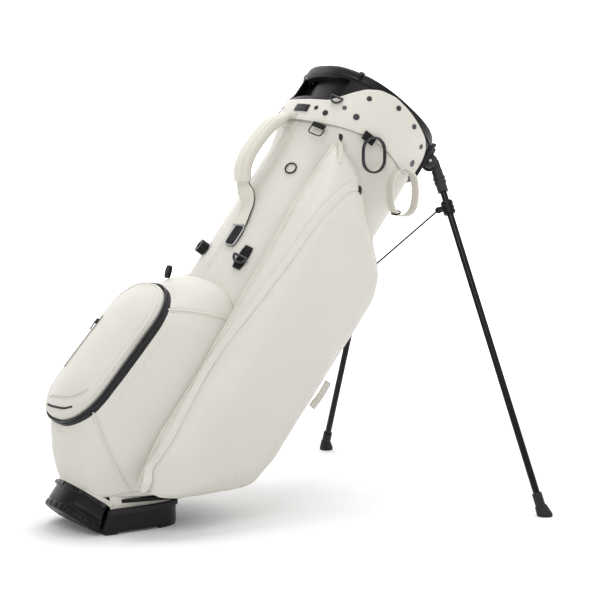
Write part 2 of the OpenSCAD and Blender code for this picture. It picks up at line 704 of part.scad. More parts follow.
// The link's lower end at rest: the plate's pin, turned about the base hinge by the lean
link_low = [link_pin_x * cos(lean) - link_pin_z * sin(lean), 0,
            hinge_z + link_pin_x * sin(lean) + link_pin_z * cos(lean)];
link_pin_r = 2;
link_half = 6;
module drag_link() color("silver") in_bag() {
    for (y = [-link_half, link_half])
        rod([rod_low_x, y, link_top_z], link_low + [0, y, 0], link_pin_r + 0.3);
    translate([rod_low_x, 0, link_top_z]) rotate([90, 0, 0])
        cylinder(r = link_pin_r, h = 2 * link_half, center = true, $fn = 32);
    translate(link_low) rotate([90, 0, 0]) cylinder(r = link_pin_r, h = 26, center = true, $fn = 32);
}

// ---------- foot plate, level on the ground ----------

hinge_ground = [hinge_z * sin(lean), 0, datum_h + hinge_z * cos(lean)];
pad_h = 4;
lost_motion = 6.6;      // room for the drag link's pin in the plate's lugs
link_rest = [link_pin_x, link_pin_z];
module plate_plan(grow = 0) translate([hinge_ground[0], 0]) base_plan(grow);

// Everything behind the split between the shell and the plate
module plate_side() translate(hinge_ground) rotate([90, 0, 0]) translate([0, 0, -120]) linear_extrude(240)
    polygon([[2, -20], [200, -20], [200, 60], [14, 60], [14, 32], [2, 0]]);

module foot_plate() color("#222222") difference() {
    union() {
        intersection() {
            difference() {
                translate([0, 0, pad_h]) linear_extrude(plate_h - pad_h - 8) plate_plan();
                translate([0, 0, pad_h + 7]) linear_extrude(plate_h) plate_plan(-6);
            }
            plate_side();
        }
        intersection() {
            translate(hinge_ground) hull() {
                translate([0, -32.5, 0]) rotate([-90, 0, 0]) cylinder(r = knuckle_r, h = 65, $fn = 32);
                translate([16, -32.5, -5.5]) cube([6, 65, 8]);
            }
            translate([-50, -100, pad_h + 0.5]) cube([100, 200, 40]);
        }
        for (s = [-1, 1]) translate(hinge_ground + [link_rest[0] - 14, s * 11 - 2, 0])
            translate([0, 0, pad_h + 6 - hinge_ground[2]]) cube([28, 4, plate_h - pad_h - 2]);
    }
    translate(hinge_ground + [link_rest[0], -20, link_rest[1]]) rotate([-90, 0, 0])
        cylinder(r = link_pin_r + lost_motion, h = 40, $fn = 48);
    translate(hinge_ground - [0, 80, 0]) rotate([-90, 0, 0]) cylinder(r = hinge_pin_r + run, h = 160, $fn = 32);
    for (s = [-1, 1]) translate(hinge_ground + [0, s * 48 - 14.5, 0]) rotate([-90, 0, 0])
        cylinder(r = knuckle_r + 1.5, h = 29, $fn = 48);
}
module foot_pads() color("#151515") intersection() {
    union() {
        translate([0, -100, 0]) cube([20, 200, pad_h]);
        translate([98, -100, 0]) cube([60, 200, pad_h]);
    }
    translate([0, 0, -1]) linear_extrude(10) plate_plan(-1);
    plate_side();
}
module plate_collar() color("#1c1c1c") intersection() {
    translate([0, 0, plate_h - 7.6]) linear_extrude(7.6) difference() {
        plate_plan(3);
        plate_plan(-5);
    }
    plate_side();
}

front_panel();
back_panel();
near_side_panel();
far_side_panel();
lower_skirt();
upper_collar();
front_stay();
back_spine();
club_floor();
top_cuff();
divider_frame();
divider_sheets();
cuff_cover();
cuff_rivets();
cuff_plate();
base_shell();
base_collar();
base_rivets();
base_hinge_pin();
near_pocket();
far_pocket();
ball_pocket();
ball_pocket_zip();
hardware_straps();
handle_anchors();
strap_socket();
eyelet();
back_tab();
pocket_pull_loop();
stand_bracket();
bracket_screws();
foot_plate();
foot_pads();
plate_collar();
push_rod();
rod_yoke();
drag_link();
near_strut();
far_strut();
near_leg_arm();
near_leg_tube();
near_leg_clamp();
near_leg_foot();
far_leg_arm();
far_leg_tube();
far_leg_clamp();
far_leg_foot();
ball_pocket_door();
coin_zip_slider();
front_zip_slider();
side_zip_slider();
carry_handle();
towel_ring();
cuff_ring();
collar_ring();
strap_ring();
umbrella_loop();
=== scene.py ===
"""Looks of the golf stand bag: leather, webbing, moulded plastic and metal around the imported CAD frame."""
import json
import math

import bmesh
import bpy
import numpy as np
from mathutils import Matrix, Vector, noise
from mathutils.bvhtree import BVHTree


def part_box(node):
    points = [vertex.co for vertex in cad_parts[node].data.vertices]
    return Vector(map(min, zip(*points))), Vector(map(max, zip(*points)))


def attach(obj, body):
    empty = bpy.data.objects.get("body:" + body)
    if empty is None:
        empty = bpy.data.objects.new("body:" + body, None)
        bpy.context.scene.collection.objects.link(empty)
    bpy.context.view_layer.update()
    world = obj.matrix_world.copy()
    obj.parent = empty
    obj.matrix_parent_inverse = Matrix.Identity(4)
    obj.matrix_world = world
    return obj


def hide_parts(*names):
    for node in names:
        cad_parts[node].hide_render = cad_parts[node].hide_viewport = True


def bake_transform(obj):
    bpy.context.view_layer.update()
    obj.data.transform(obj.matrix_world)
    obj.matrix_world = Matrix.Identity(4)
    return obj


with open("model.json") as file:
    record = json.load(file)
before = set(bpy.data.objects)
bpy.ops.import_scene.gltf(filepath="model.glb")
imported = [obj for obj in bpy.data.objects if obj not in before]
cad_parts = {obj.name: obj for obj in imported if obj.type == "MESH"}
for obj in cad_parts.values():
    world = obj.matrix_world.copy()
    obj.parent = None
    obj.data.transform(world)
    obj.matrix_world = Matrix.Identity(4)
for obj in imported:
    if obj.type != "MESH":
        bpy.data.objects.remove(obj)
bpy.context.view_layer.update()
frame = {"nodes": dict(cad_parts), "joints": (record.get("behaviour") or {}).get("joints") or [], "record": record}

# ---------- the bag's frame: u backwards, v across, w up the tube, all in millimetres ----------

MM = 0.001
JOINTS = {j["name"]: j for j in frame["joints"]}
HINGE = JOINTS["base_hinge"]
LEAN = math.radians(HINGE["range_deg"][1])
HINGE_W = HINGE["pos_m"][0] / math.sin(LEAN)
DATUM = np.array([0, 0, HINGE["pos_m"][2] - HINGE_W * math.cos(LEAN)])
U = np.array([math.cos(LEAN), 0, -math.sin(LEAN)])
V = np.array([0.0, 1, 0])
W = np.array([math.sin(LEAN), 0, math.cos(LEAN)])
NEAR, FAR = -1, 1


def bag(u, v, w):
    """World place in metres of a point in the bag's frame."""
    u, v, w = np.broadcast_arrays(np.asarray(u, float), v, w)
    return DATUM + MM * (u[..., None] * U + v[..., None] * V + w[..., None] * W)


def to_bag(points):
    """Bag-frame (u, v, w) in millimetres of world points."""
    away = (np.asarray(points) - DATUM) / MM
    return np.stack([away @ U, away @ V, away @ W], -1)


def node_points(*nodes):
    return np.array([v.co for n in nodes for v in frame["nodes"][n].data.vertices])


def bag_box(*nodes):
    points = to_bag(node_points(*nodes))
    return points.min(0), points.max(0)


def box_of(node):
    """Low and high corners of a node's world box, as arrays."""
    low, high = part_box(node)
    return np.array(low), np.array(high)


# Driving sizes, all read off the CAD nodes
tube_low_corner, tube_high_corner = bag_box("front_panel", "back_panel", "near_side_panel", "far_side_panel")
TUBE_X = (tube_low_corner[0] + tube_high_corner[0]) / 2
TUBE_A = (tube_high_corner[0] - tube_low_corner[0]) / 2
TUBE_B = tube_high_corner[1]
TUBE_LOW, TUBE_HIGH = tube_low_corner[2], tube_high_corner[2]
cuff_low_corner, cuff_high_corner = bag_box("top_cuff")
CUFF_X = (cuff_low_corner[0] + cuff_high_corner[0]) / 2
CUFF_A = (cuff_high_corner[0] - cuff_low_corner[0]) / 2
CUFF_B = cuff_high_corner[1]
CUFF_LOW, CUFF_TOP = cuff_low_corner[2], cuff_high_corner[2]
PLATE_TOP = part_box("foot_plate")[1].z
SKIRT_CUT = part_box("near_pocket")[0].z
SQUARENESS = 2.4
FULL_TURN = 2 * math.pi


# ---------- curves ----------

def power(value, exponent):
    return np.sign(value) * np.abs(value) ** exponent


def ring(a, b, x, angle, squareness=SQUARENESS):
    """(u, v) on a rounded outline at parameter angle (radians); 0 is the back, pi the front."""
    return x + a * power(np.cos(angle), 2 / squareness), b * power(np.sin(angle), 2 / squareness)


def smoothstep(low, high, value):
    t = np.clip((value - low) / (high - low), 0, 1)
    return t * t * (3 - 2 * t)


def smooth_path(points, step, closed=False):
    """A Catmull-Rom curve through points, sampled about every step."""
    p = np.asarray(points, float)
    if closed:
        p = np.vstack([p[-1:], p, p[:2]])
    else:
        p = np.vstack([2 * p[0] - p[1], p, 2 * p[-1] - p[-2]])
    t = np.linspace(0, 1, 17)[:-1, None]
    runs = []
    for a, b, c, d in zip(p[:-3], p[1:-2], p[2:-1], p[3:]):
        runs.append(0.5 * (2 * b + (c - a) * t + (2 * a - 5 * b + 4 * c - d) * t ** 2
                           + (3 * b - a - 3 * c + d) * t ** 3))
    curve = np.vstack(runs + [p[-2:-1]])
    length = np.concatenate([[0], np.cumsum(np.linalg.norm(np.diff(curve, axis=0), axis=1))])
    count = max(3, int(round(length[-1] / step)) + 1)
    at = np.linspace(0, length[-1], count)
    out = np.stack([np.interp(at, length, curve[:, k]) for k in range(p.shape[1])], 1)
    return out[:-1] if closed else out


def round_profile(radius, count=10):
    angle = np.arange(count) * FULL_TURN / count
    return radius * np.stack([np.cos(angle), np.sin(angle)], 1)


def strap_profile(width, thick, count=20, squareness=5):
    """Rounded rectangle, width across and thick outwards."""
    angle = np.arange(count) * FULL_TURN / count
    return np.stack([width / 2 * power(np.cos(angle), 2 / squareness),
                     thick / 2 * power(np.sin(angle), 2 / squareness)], 1)


def unit(vectors):
    return vectors / np.maximum(np.linalg.norm(vectors, axis=-1, keepdims=True), 1e-12)


def path_frames(path, normals, closed):
    """Tangent, across and out directions along a path."""
    ahead = np.roll(path, -1, 0) - np.roll(path, 1, 0)
    if not closed:
        ahead[0] = path[1] - path[0]
        ahead[-1] = path[-1] - path[-2]
    tangent = unit(ahead)
    normals = np.broadcast_to(np.asarray(normals, float), path.shape)
    out = unit(normals - (normals * tangent).sum(1, keepdims=True) * tangent)
    return tangent, np.cross(tangent, out), out


def relax(values, rounds):
    """Evens out directions or points along a path."""
    for _ in range(rounds):
        values = values.copy()
        values[1:-1] = (values[:-2] + 2 * values[1:-1] + values[2:]) / 4
    return values


# ---------- mesh building ----------

def grid_faces(rows, cols, wrap=False):
    across = cols if wrap else cols - 1
    return [(r * cols + c, r * cols + (c + 1) % cols, (r + 1) * cols + (c + 1) % cols, (r + 1) * cols + c)
            for r in range(rows - 1) for c in range(across)]


class Shape:
    """Collects several solids into one piece."""

    def __init__(self):
        self.verts, self.faces, self.marks = [], [], []

    def add(self, verts, faces, mark=0):
        start = len(self.verts)
        self.verts += [tuple(v) for v in np.asarray(verts).reshape(-1, 3)]
        self.faces += [tuple(start + i for i in face) for face in faces]
        self.marks += [mark] * len(faces)

    def grid(self, points, wrap=False, mark=0):
        self.add(points, grid_faces(points.shape[0], points.shape[1], wrap), mark)

    def sweep(self, path, normals, profile, closed=False, taper=None, mark=0):
        """Carries a closed profile of (across, out) points in metres along a path."""
        _, across, out = path_frames(path, normals, closed)
        size = np.ones(len(path)) if taper is None else taper
        rings = (path[:, None] + size[:, None, None] * (profile[None, :, :1] * across[:, None]
                                                        + profile[None, :, 1:] * out[:, None]))
        count = len(profile)
        faces = grid_faces(len(path), count, True)
        if closed:
            last = (len(path) - 1) * count
            faces += [(last + c, last + (c + 1) % count, (c + 1) % count, c) for c in range(count)]
        else:
            faces.append(tuple(range(count))[::-1])
            faces.append(tuple((len(path) - 1) * count + c for c in range(count)))
        self.add(rings, faces, mark)

    def cord(self, path, normals, radius, count=10, closed=False, mark=0):
        """A round cord or wire along a path."""
        self.sweep(path, normals, round_profile(radius, count), closed, mark=mark)

    def stitches(self, path, normals, offset, pitch=0.0042, radius=0.00042, mark=0):
        """A row of thread stitches, offset across the path."""
        _, across, out = path_frames(path, normals, False)
        line = path + across * offset
        length = np.concatenate([[0], np.cumsum(np.linalg.norm(np.diff(line, axis=0), axis=1))])
        for start in np.arange(pitch, length[-1] - pitch, pitch):
            at = start + pitch * np.array([0, 0.12, 0.36, 0.6, 0.72])
            points = np.stack([np.interp(at, length, line[:, k]) for k in range(3)], 1)
            side = np.stack([np.interp(at, length, out[:, k]) for k in range(3)], 1)
            taper = np.array([0.35, 0.9, 1.1, 0.9, 0.35])
            self.sweep(points + side * radius * 0.35, side, round_profile(radius, 6), taper=taper, mark=mark)

    def build(self, name, body, materials, slot=None, stands_for=()):
        return make(name, self.verts, self.faces, materials, body, stands_for, self.marks)


def make(name, verts, faces, materials, body=None, stands_for=(), marks=None):
    """A smooth-shaded piece with its faces turned outwards; marks picks each face's material."""
    mesh = bpy.data.meshes.new(name)
    mesh.from_pydata([tuple(v) for v in np.asarray(verts).reshape(-1, 3)], [], faces)
    for material in materials:
        mesh.materials.append(material)
    if marks is not None:
        mesh.polygons.foreach_set("material_index", marks)
    mesh.polygons.foreach_set("use_smooth", [True] * len(mesh.polygons))
    shape = bmesh.new()
    shape.from_mesh(mesh)
    bmesh.ops.recalc_face_normals(shape, faces=shape.faces)
    shape.to_mesh(mesh)
    shape.free()
    mesh.update()
    piece = bpy.data.objects.new(name, mesh)
    bpy.context.scene.collection.objects.link(piece)
    return settle(piece, body, stands_for)


def settle(piece, body=None, stands_for=()):
    """Attaches a piece to its body and hides the CAD nodes that it stands for."""
    if body:
        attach(piece, body)
    if stands_for:
        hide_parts(*stands_for)
    return piece


def freeze(piece):
    """Applies every modifier of a piece."""
    bpy.context.view_layer.update()
    seen = piece.evaluated_get(bpy.context.evaluated_depsgraph_get())
    mesh = bpy.data.meshes.new_from_object(seen)
    piece.modifiers.clear()
    piece.data = mesh
    return piece


def thicken(piece, thick, offset=-1, inner_mark=None):
    """Turns a sheet into a closed skin with its own thickness in metres."""
    solid = piece.modifiers.new("Skin", "SOLIDIFY")
    solid.thickness = thick
    solid.offset = offset
    solid.use_even_offset = False
    if inner_mark is not None:
        solid.material_offset = inner_mark
        solid.material_offset_rim = 0
    return freeze(piece)


def shade_smooth(piece):
    piece.data.polygons.foreach_set("use_smooth", [True] * len(piece.data.polygons))
    return piece


def subdivide(piece):
    smooth = piece.modifiers.new("Smooth", "SUBSURF")
    smooth.levels = smooth.render_levels = 1
    return shade_smooth(freeze(piece))


def soften(piece, width, angle_deg=30):
    """Rounds the edges that are sharper than an angle."""
    bevel = piece.modifiers.new("Edge", "BEVEL")
    bevel.width = width
    bevel.segments = 2
    bevel.limit_method = "ANGLE"
    bevel.angle_limit = math.radians(angle_deg)
    return piece


def coords(piece):
    out = np.zeros(len(piece.data.vertices) * 3)
    piece.data.vertices.foreach_get("co", out)
    return out.reshape(-1, 3)


def set_coords(piece, points):
    piece.data.vertices.foreach_set("co", np.asarray(points, np.float32).ravel())
    piece.data.update()


def vertex_normals(piece):
    return np.array([v.normal for v in piece.data.vertices])


def ruffle(piece, height, scale, seed=0.0):
    """Low, smooth unevenness of soft material, in metres along the normals."""
    points, normals = coords(piece), vertex_normals(piece)
    lift = np.array([noise.noise(Vector(p) * scale + Vector((seed, seed, seed))) for p in points])
    set_coords(piece, points + normals * (height * lift)[:, None])
    return piece


def surface(piece):
    bpy.context.view_layer.update()
    return BVHTree.FromObject(piece, bpy.context.evaluated_depsgraph_get())


def drop(tree, points, lift=0.0):
    """Nearest places on a surface to a path, with outward normals."""
    hits = [tree.find_nearest(Vector(p)) for p in points]
    places = np.array([h[0] for h in hits])
    normals = relax(np.array([h[1] for h in hits]), 4)
    return relax(places, 3) + lift * normals, normals


def press_seam(piece, path, depth, width):
    """Draws the surface in along a sewn line; depth and width in metres."""
    points, normals = coords(piece), vertex_normals(piece)
    near = np.full(len(points), 1.0)
    for start in range(0, len(points), 4096):
        gap = points[start:start + 4096, None] - path[None]
        near[start:start + 4096] = np.sqrt((gap ** 2).sum(2).min(1))
    pull = depth * np.exp(-(near / width) ** 2)
    set_coords(piece, points - normals * pull[:, None])


# ---------- materials ----------

class Tree:
    """Small helper that builds one node material."""

    def __init__(self, name):
        self.material = bpy.data.materials.new(name)
        self.material.use_nodes = True
        self.tree = self.material.node_tree
        self.shader = self.tree.nodes["Principled BSDF"]
        self.place = self.add("TexCoord").outputs["Object"]

    def add(self, kind, links=None, **values):
        node = self.tree.nodes.new("ShaderNode" + kind)
        for key, value in values.items():
            if hasattr(node, key):
                setattr(node, key, value)
            else:
                node.inputs[key.replace("_", " ")].default_value = value
        for key, socket in (links or {}).items():
            self.tree.links.new(socket, node.inputs[key])
        return node

    def noise(self, scale, detail=2.0, stretch=(1, 1, 1)):
        place = self.add("Mapping", {"Vector": self.place}, Scale=stretch).outputs["Vector"]
        return self.add("TexNoise", {"Vector": place}, Scale=scale, Detail=detail).outputs["Fac"]

    def ramp(self, socket, low, high):
        """Maps 0..1 onto low..high."""
        return self.add("MapRange", {"Value": socket}, To_Min=low, To_Max=high).outputs["Result"]

    def math(self, operation, a, b):
        node = self.tree.nodes.new("ShaderNodeMath")
        node.operation = operation
        for index, value in enumerate((a, b)):
            if isinstance(value, (int, float)):
                node.inputs[index].default_value = value
            else:
                self.tree.links.new(value, node.inputs[index])
        return node.outputs[0]

    def mix(self, factor, a, b):
        """Colour a where factor is 0, b where it is 1; a and b are (r, g, b) or sockets."""
        node = self.tree.nodes.new("ShaderNodeMix")
        node.data_type = "RGBA"
        self.tree.links.new(factor, node.inputs["Factor"])
        for slot, value in ((6, a), (7, b)):
            if isinstance(value, tuple):
                node.inputs[slot].default_value = (*value, 1)
            else:
                self.tree.links.new(value, node.inputs[slot])
        return node.outputs[2]

    def edge(self, low, high):
        """0 in flats and hollows, 1 on worn outer edges."""
        point = self.add("NewGeometry").outputs["Pointiness"]
        return self.add("MapRange", {"Value": point}, From_Min=low, From_Max=high).outputs["Result"]

    def bump(self, height, distance, strength=1.0, below=None):
        links = {"Height": height}
        if below is not None:
            links["Normal"] = below
        return self.add("Bump", links, Distance=distance, Strength=strength).outputs["Normal"]

    def finish(self, **sockets):
        for key, value in sockets.items():
            target = self.shader.inputs[key.replace("_", " ")]
            if hasattr(value, "links"):
                self.tree.links.new(value, target)
            else:
                target.default_value = (*value, 1) if isinstance(value, tuple) else value
        return self.material


def leather(name, color, grain=0.0011, depth=0.00022, rough=0.52):
    """Pebbled leather: cells with soft valleys, faint creases, tone drift and paler worn edges."""
    t = Tree(name)
    cells = t.add("TexVoronoi", {"Vector": t.place}, feature="SMOOTH_F1", Scale=1 / grain, Smoothness=0.6)
    pores = t.noise(2600.0, 2.0)
    drift = t.noise(11.0, 3.0)
    crease = t.noise(60.0, 4.0, (1, 1, 0.35))
    dark = tuple(c * 0.90 for c in color)
    tone = t.mix(t.ramp(drift, 0.0, 1.0), color, tuple(c * f for c, f in zip(color, (0.95, 0.945, 0.93))))
    tone = t.mix(t.ramp(cells.outputs["Distance"], 0.0, 0.55), tone, dark)
    worn = tuple(min(1.0, c * 1.06) for c in color)
    tone = t.mix(t.edge(0.53, 0.62), tone, worn)
    normal = t.bump(crease, 0.0007, 0.5)
    normal = t.bump(t.math("SUBTRACT", 1.0, cells.outputs["Distance"]), depth, 0.8, normal)
    normal = t.bump(pores, 0.00005, 0.5, normal)
    shine = t.math("ADD", t.ramp(drift, rough - 0.06, rough + 0.08), t.ramp(pores, -0.04, 0.04))
    return t.finish(Base_Color=tone, Roughness=shine, Normal=normal, Specular_IOR_Level=0.42,
                    Sheen_Weight=0.08, Sheen_Roughness=0.5)


def weave(name, color, pitch=0.0016, rough=0.85, depth=0.0004):
    """Woven nylon: two crossed sets of ribs with single threads in them."""
    t = Tree(name)
    split = t.add("SeparateXYZ", {"Vector": t.place})
    turn = FULL_TURN / pitch
    rise = split.outputs["Z"]
    along = t.math("SINE", t.math("MULTIPLY", t.math("ADD", split.outputs["X"], rise), turn), 0.0)
    cross = t.math("SINE", t.math("MULTIPLY", t.math("SUBTRACT", rise, split.outputs["Y"]), turn), 0.0)
    ribs = t.math("MULTIPLY", along, cross)
    threads = t.noise(2400.0, 2.0, (1, 0.3, 1))
    tone = t.mix(t.ramp(ribs, 0.35, 0.75), tuple(c * 0.55 for c in color), tuple(c * 1.5 for c in color))
    tone = t.mix(t.edge(0.54, 0.66), tone, tuple(c * 2.2 for c in color))
    normal = t.bump(ribs, depth, 0.7)
    normal = t.bump(threads, 0.0001, 0.5, normal)
    return t.finish(Base_Color=tone, Roughness=rough, Normal=normal, Sheen_Weight=0.1,
                    Specular_IOR_Level=0.18)


def plastic(name, color, rough=0.42, texture=0.00006, wear=2.6):
    """Moulded plastic: fine spark-eroded texture, uneven sheen, edges rubbed paler."""
    t = Tree(name)
    fine = t.noise(3200.0, 3.0)
    broad = t.noise(26.0, 4.0)
    tone = t.mix(t.ramp(broad, 0.0, 1.0), color, tuple(c * 1.35 for c in color))
    tone = t.mix(t.edge(0.56, 0.72), tone, tuple(c * wear for c in color))
    shine = t.math("ADD", t.ramp(broad, rough - 0.07, rough + 0.07), t.ramp(fine, -0.05, 0.05))
    return t.finish(Base_Color=tone, Roughness=shine, Normal=t.bump(fine, texture, 0.6),
                    Specular_IOR_Level=0.22)


def metal(name, color, rough=0.3, brushed=(1, 1, 1), wear=1.6):
    """Plated or brushed metal with fine scratches and brighter edges."""
    t = Tree(name)
    scratches = t.noise(900.0, 4.0, brushed)
    stain = t.noise(45.0, 3.0)
    tone = t.mix(t.ramp(stain, 0.0, 1.0), color, tuple(c * 0.8 for c in color))
    tone = t.mix(t.edge(0.55, 0.7), tone, tuple(min(1.0, c * wear) for c in color))
    shine = t.math("ADD", t.ramp(scratches, rough - 0.08, rough + 0.08), t.ramp(stain, -0.04, 0.04))
    return t.finish(Base_Color=tone, Roughness=shine, Metallic=1.0, Normal=t.bump(scratches, 0.00003, 0.4))


def lacquer(name, color):
    """Glossy painted tube with a faint orange peel."""
    t = Tree(name)
    peel = t.noise(420.0, 2.0)
    broad = t.noise(14.0, 3.0)
    tone = t.mix(t.ramp(broad, 0.0, 1.0), color, tuple(c * 1.5 for c in color))
    return t.finish(Base_Color=tone, Roughness=t.ramp(broad, 0.16, 0.26), Normal=t.bump(peel, 0.00003, 0.4),
                    Specular_IOR_Level=0.22)


def rubber(name, color):
    """Matte rubber with a dusty bloom."""
    t = Tree(name)
    fine = t.noise(1500.0, 4.0)
    dust = t.noise(40.0, 4.0)
    tone = t.mix(t.ramp(dust, 0.0, 1.0), color, tuple(c * 1.9 for c in color))
    return t.finish(Base_Color=tone, Roughness=t.ramp(fine, 0.68, 0.85), Normal=t.bump(fine, 0.0002, 0.5))


CREAM = leather("cream_pebbled_leather", (0.645, 0.622, 0.573))
STRAP = leather("cream_smooth_leather", (0.635, 0.61, 0.545), 0.0007, 0.00010, 0.46)
PIPING = leather("cream_piping", (0.61, 0.588, 0.53), 0.0008, 0.00006, 0.5)
THREAD = weave("cream_thread", (0.42, 0.41, 0.37), 0.0008, 0.7, 0.0001)
WEBBING = weave("black_webbing", (0.009, 0.009, 0.0095))
LINING = weave("black_lining", (0.012, 0.012, 0.013), 0.0009, 0.9, 0.0002)
ZIP_TAPE = weave("zip_tape", (0.022, 0.022, 0.024), 0.0010, 0.8, 0.0003)
BLACK = plastic("black_satin_plastic", (0.0045, 0.0045, 0.0048), 0.42)
GREY = plastic("dark_grey_plastic", (0.026, 0.026, 0.028), 0.45, wear=1.8)
ZIP_TEETH = plastic("zip_teeth", (0.03, 0.03, 0.032), 0.3)
RUBBER = rubber("black_rubber", (0.007, 0.007, 0.0073))
GUNMETAL = metal("gunmetal", (0.065, 0.065, 0.07), 0.3)
STEEL = metal("brushed_steel", (0.55, 0.55, 0.56), 0.34, (1, 1, 0.08))
TUBE_GLOSS = lacquer("black_lacquer", (0.004, 0.004, 0.0042))
SLOT_MATERIALS = {
    "pocket_leather": CREAM, "strap_leather": STRAP, "black_plastic": BLACK, "black_rubber": RUBBER,
    "black_webbing": WEBBING, "dark_metal": GUNMETAL, "leg_tube_gloss": TUBE_GLOSS, "steel": STEEL,
}


# ---------- tube, skirt and collar ----------

TUBE_COLUMNS = 176
SKIRT_LOW = 27.0
BASE_X = 28.0
BASE_B = bag_box("base_shell")[1][1]
BASE_FRONT = BASE_X - bag_box("base_shell")[0][0]
BASE_BACK = (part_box("foot_plate")[1].x - HINGE["pos_m"][0]) / MM - BASE_X
BASE_ROUND, BASE_SQUARE = 2.3, 4.0


def base_ring(angle, grow=0.0):
    """Plan of the base, rounder in front than behind."""
    front = np.cos(angle) < 0
    square = np.where(front, BASE_ROUND, BASE_SQUARE)
    reach = np.where(front, BASE_FRONT, BASE_BACK) + grow
    return (BASE_X + reach * power(np.cos(angle), 2 / square),
            (BASE_B + grow) * power(np.sin(angle), 2 / square))


def tube_ring(angle, w):
    """Outline of the bag's body at height w: base, skirt, tube and flared collar."""
    bu, bv = base_ring(angle, -2.0)
    tu, tv = ring(TUBE_A, TUBE_B, TUBE_X, angle)
    cu, cv = ring(CUFF_A - 2, CUFF_B - 2, CUFF_X, angle)
    skirt = np.clip((TUBE_LOW - w) / (TUBE_LOW - SKIRT_LOW), 0, 1)
    collar = smoothstep(TUBE_HIGH - 6, CUFF_LOW - 6, w)
    u = tu + skirt * (bu - tu) + collar * (cu - tu)
    v = tv + skirt * (bv - tv) + collar * (cv - tv)
    return u, v


def tube_body():
    """The leather body of the bag as one lofted skin, cut level above the foot plate."""
    angle = np.arange(TUBE_COLUMNS) * FULL_TURN / TUBE_COLUMNS
    low = np.full(TUBE_COLUMNS, SKIRT_LOW)
    for _ in range(12):
        u, _ = tube_ring(angle, low)
        level = (SKIRT_CUT - DATUM[2]) / MM
        low = np.maximum(SKIRT_LOW, (level + 1 + u * math.sin(LEAN)) / math.cos(LEAN))
    rows = 120
    share = np.linspace(0, 1, rows)[:, None]
    w = low[None] + share * (CUFF_LOW + 4 - low[None])
    u, v = tube_ring(angle[None], w)
    front = np.cos(angle)[None] < 0
    spine = np.where(front, 3.5 * (1 - smoothstep(13, 19, np.abs(v))), 0)
    sag = 1.6 * np.sin(np.clip((w - TUBE_LOW) / (CUFF_LOW - TUBE_LOW), 0, 1) * math.pi)
    u = u - spine * smoothstep(440, 470, w) * (1 - smoothstep(735, 760, w))
    u = u - sag * np.cos(angle)
    v = v - sag * np.sin(angle)
    piece = make("tube_body", bag(u, v, w), grid_faces(rows, TUBE_COLUMNS, True), [CREAM, LINING])
    ruffle(piece, 0.0011, 16.0)
    thicken(piece, 0.0035, -1, 1)
    return settle(piece, "bag",
                  ("front_panel", "back_panel", "near_side_panel", "far_side_panel", "lower_skirt",
                   "upper_collar"))


def tube_seams(tree):
    """Piping and stitches on the body's front spine and down the back."""
    shape = Shape()
    for v in (-19, 19):
        guess = smooth_path(bag(TUBE_X - TUBE_A - 6, v, np.linspace(446, 744, 12)), 0.004)
        path, normals = drop(tree, guess)
        shape.stitches(path, normals, 0.0012 * np.sign(v), mark=0)
    for v in (-30, 30):
        guess = smooth_path(bag(TUBE_X + TUBE_A + 4, v, np.linspace(230, 740, 16)), 0.004)
        path, normals = drop(tree, guess)
        shape.cord(path, normals, 0.0018, 8, mark=1)
        shape.stitches(path, normals, 0.005 * np.sign(v), mark=0)
    return shape.build("tube_seams", "bag", [THREAD, PIPING], "strap_leather")


# ---------- side pockets ----------

# Sewn lines of a side pocket in the bag's frame, from the cuff down: each is (u, out, w)
GUSSET_SEAM = [(-47, 112, 738), (-45, 112, 660), (-44, 112, 560), (-40, 112, 430), (-33, 112, 300),
               (-31, 112, 175), (-26, 112, 110), (-24, 111, 62)]
FLAP_LINE = [(34, 131, 694), (10, 148, 678), (-6, 150, 642), (-15, 150, 606), (-17, 151, 561),
             (-17, 151, 500), (-18, 151, 423), (-19, 151, 333), (-15, 150, 203), (-12, 148, 117),
             (-10, 142, 66)]
BACK_SEAM = [(20, 132, 712), (60, 134, 684), (100, 138, 652), (132, 138, 627), (156, 138, 597),
             (170, 138, 562), (178, 138, 512), (178, 138, 430), (176, 138, 350), (174, 138, 250),
             (164, 138, 206), (134, 136, 176)]
POCKET_VOXEL = 0.005


def outer_shell(node, name):
    """A copy of a CAD solid's outer surface, without the hollow inside it."""
    shape = bmesh.new()
    shape.from_mesh(frame["nodes"][node].data)
    bmesh.ops.remove_doubles(shape, verts=shape.verts, dist=1e-6)
    shape.verts.ensure_lookup_table()
    left, groups = set(shape.verts), []
    while left:
        stack, group = [left.pop()], []
        while stack:
            vert = stack.pop()
            group.append(vert)
            for edge in vert.link_edges:
                other = edge.other_vert(vert)
                if other in left:
                    left.remove(other)
                    stack.append(other)
        groups.append(group)
    groups.sort(key=lambda group: min(v.co.y for v in group) - max(v.co.y for v in group))
    bmesh.ops.delete(shape, geom=[v for g in groups[1:] for v in g], context="VERTS")
    mesh = bpy.data.meshes.new(name)
    shape.to_mesh(mesh)
    shape.free()
    piece = bpy.data.objects.new(name, mesh)
    bpy.context.scene.collection.objects.link(piece)
    return piece


def remesh(piece, voxel, rounds):
    mod = piece.modifiers.new("Remesh", "REMESH")
    mod.mode = "VOXEL"
    mod.voxel_size = voxel
    smooth = piece.modifiers.new("Relax", "SMOOTH")
    smooth.factor = 0.5
    smooth.iterations = rounds
    return freeze(piece)


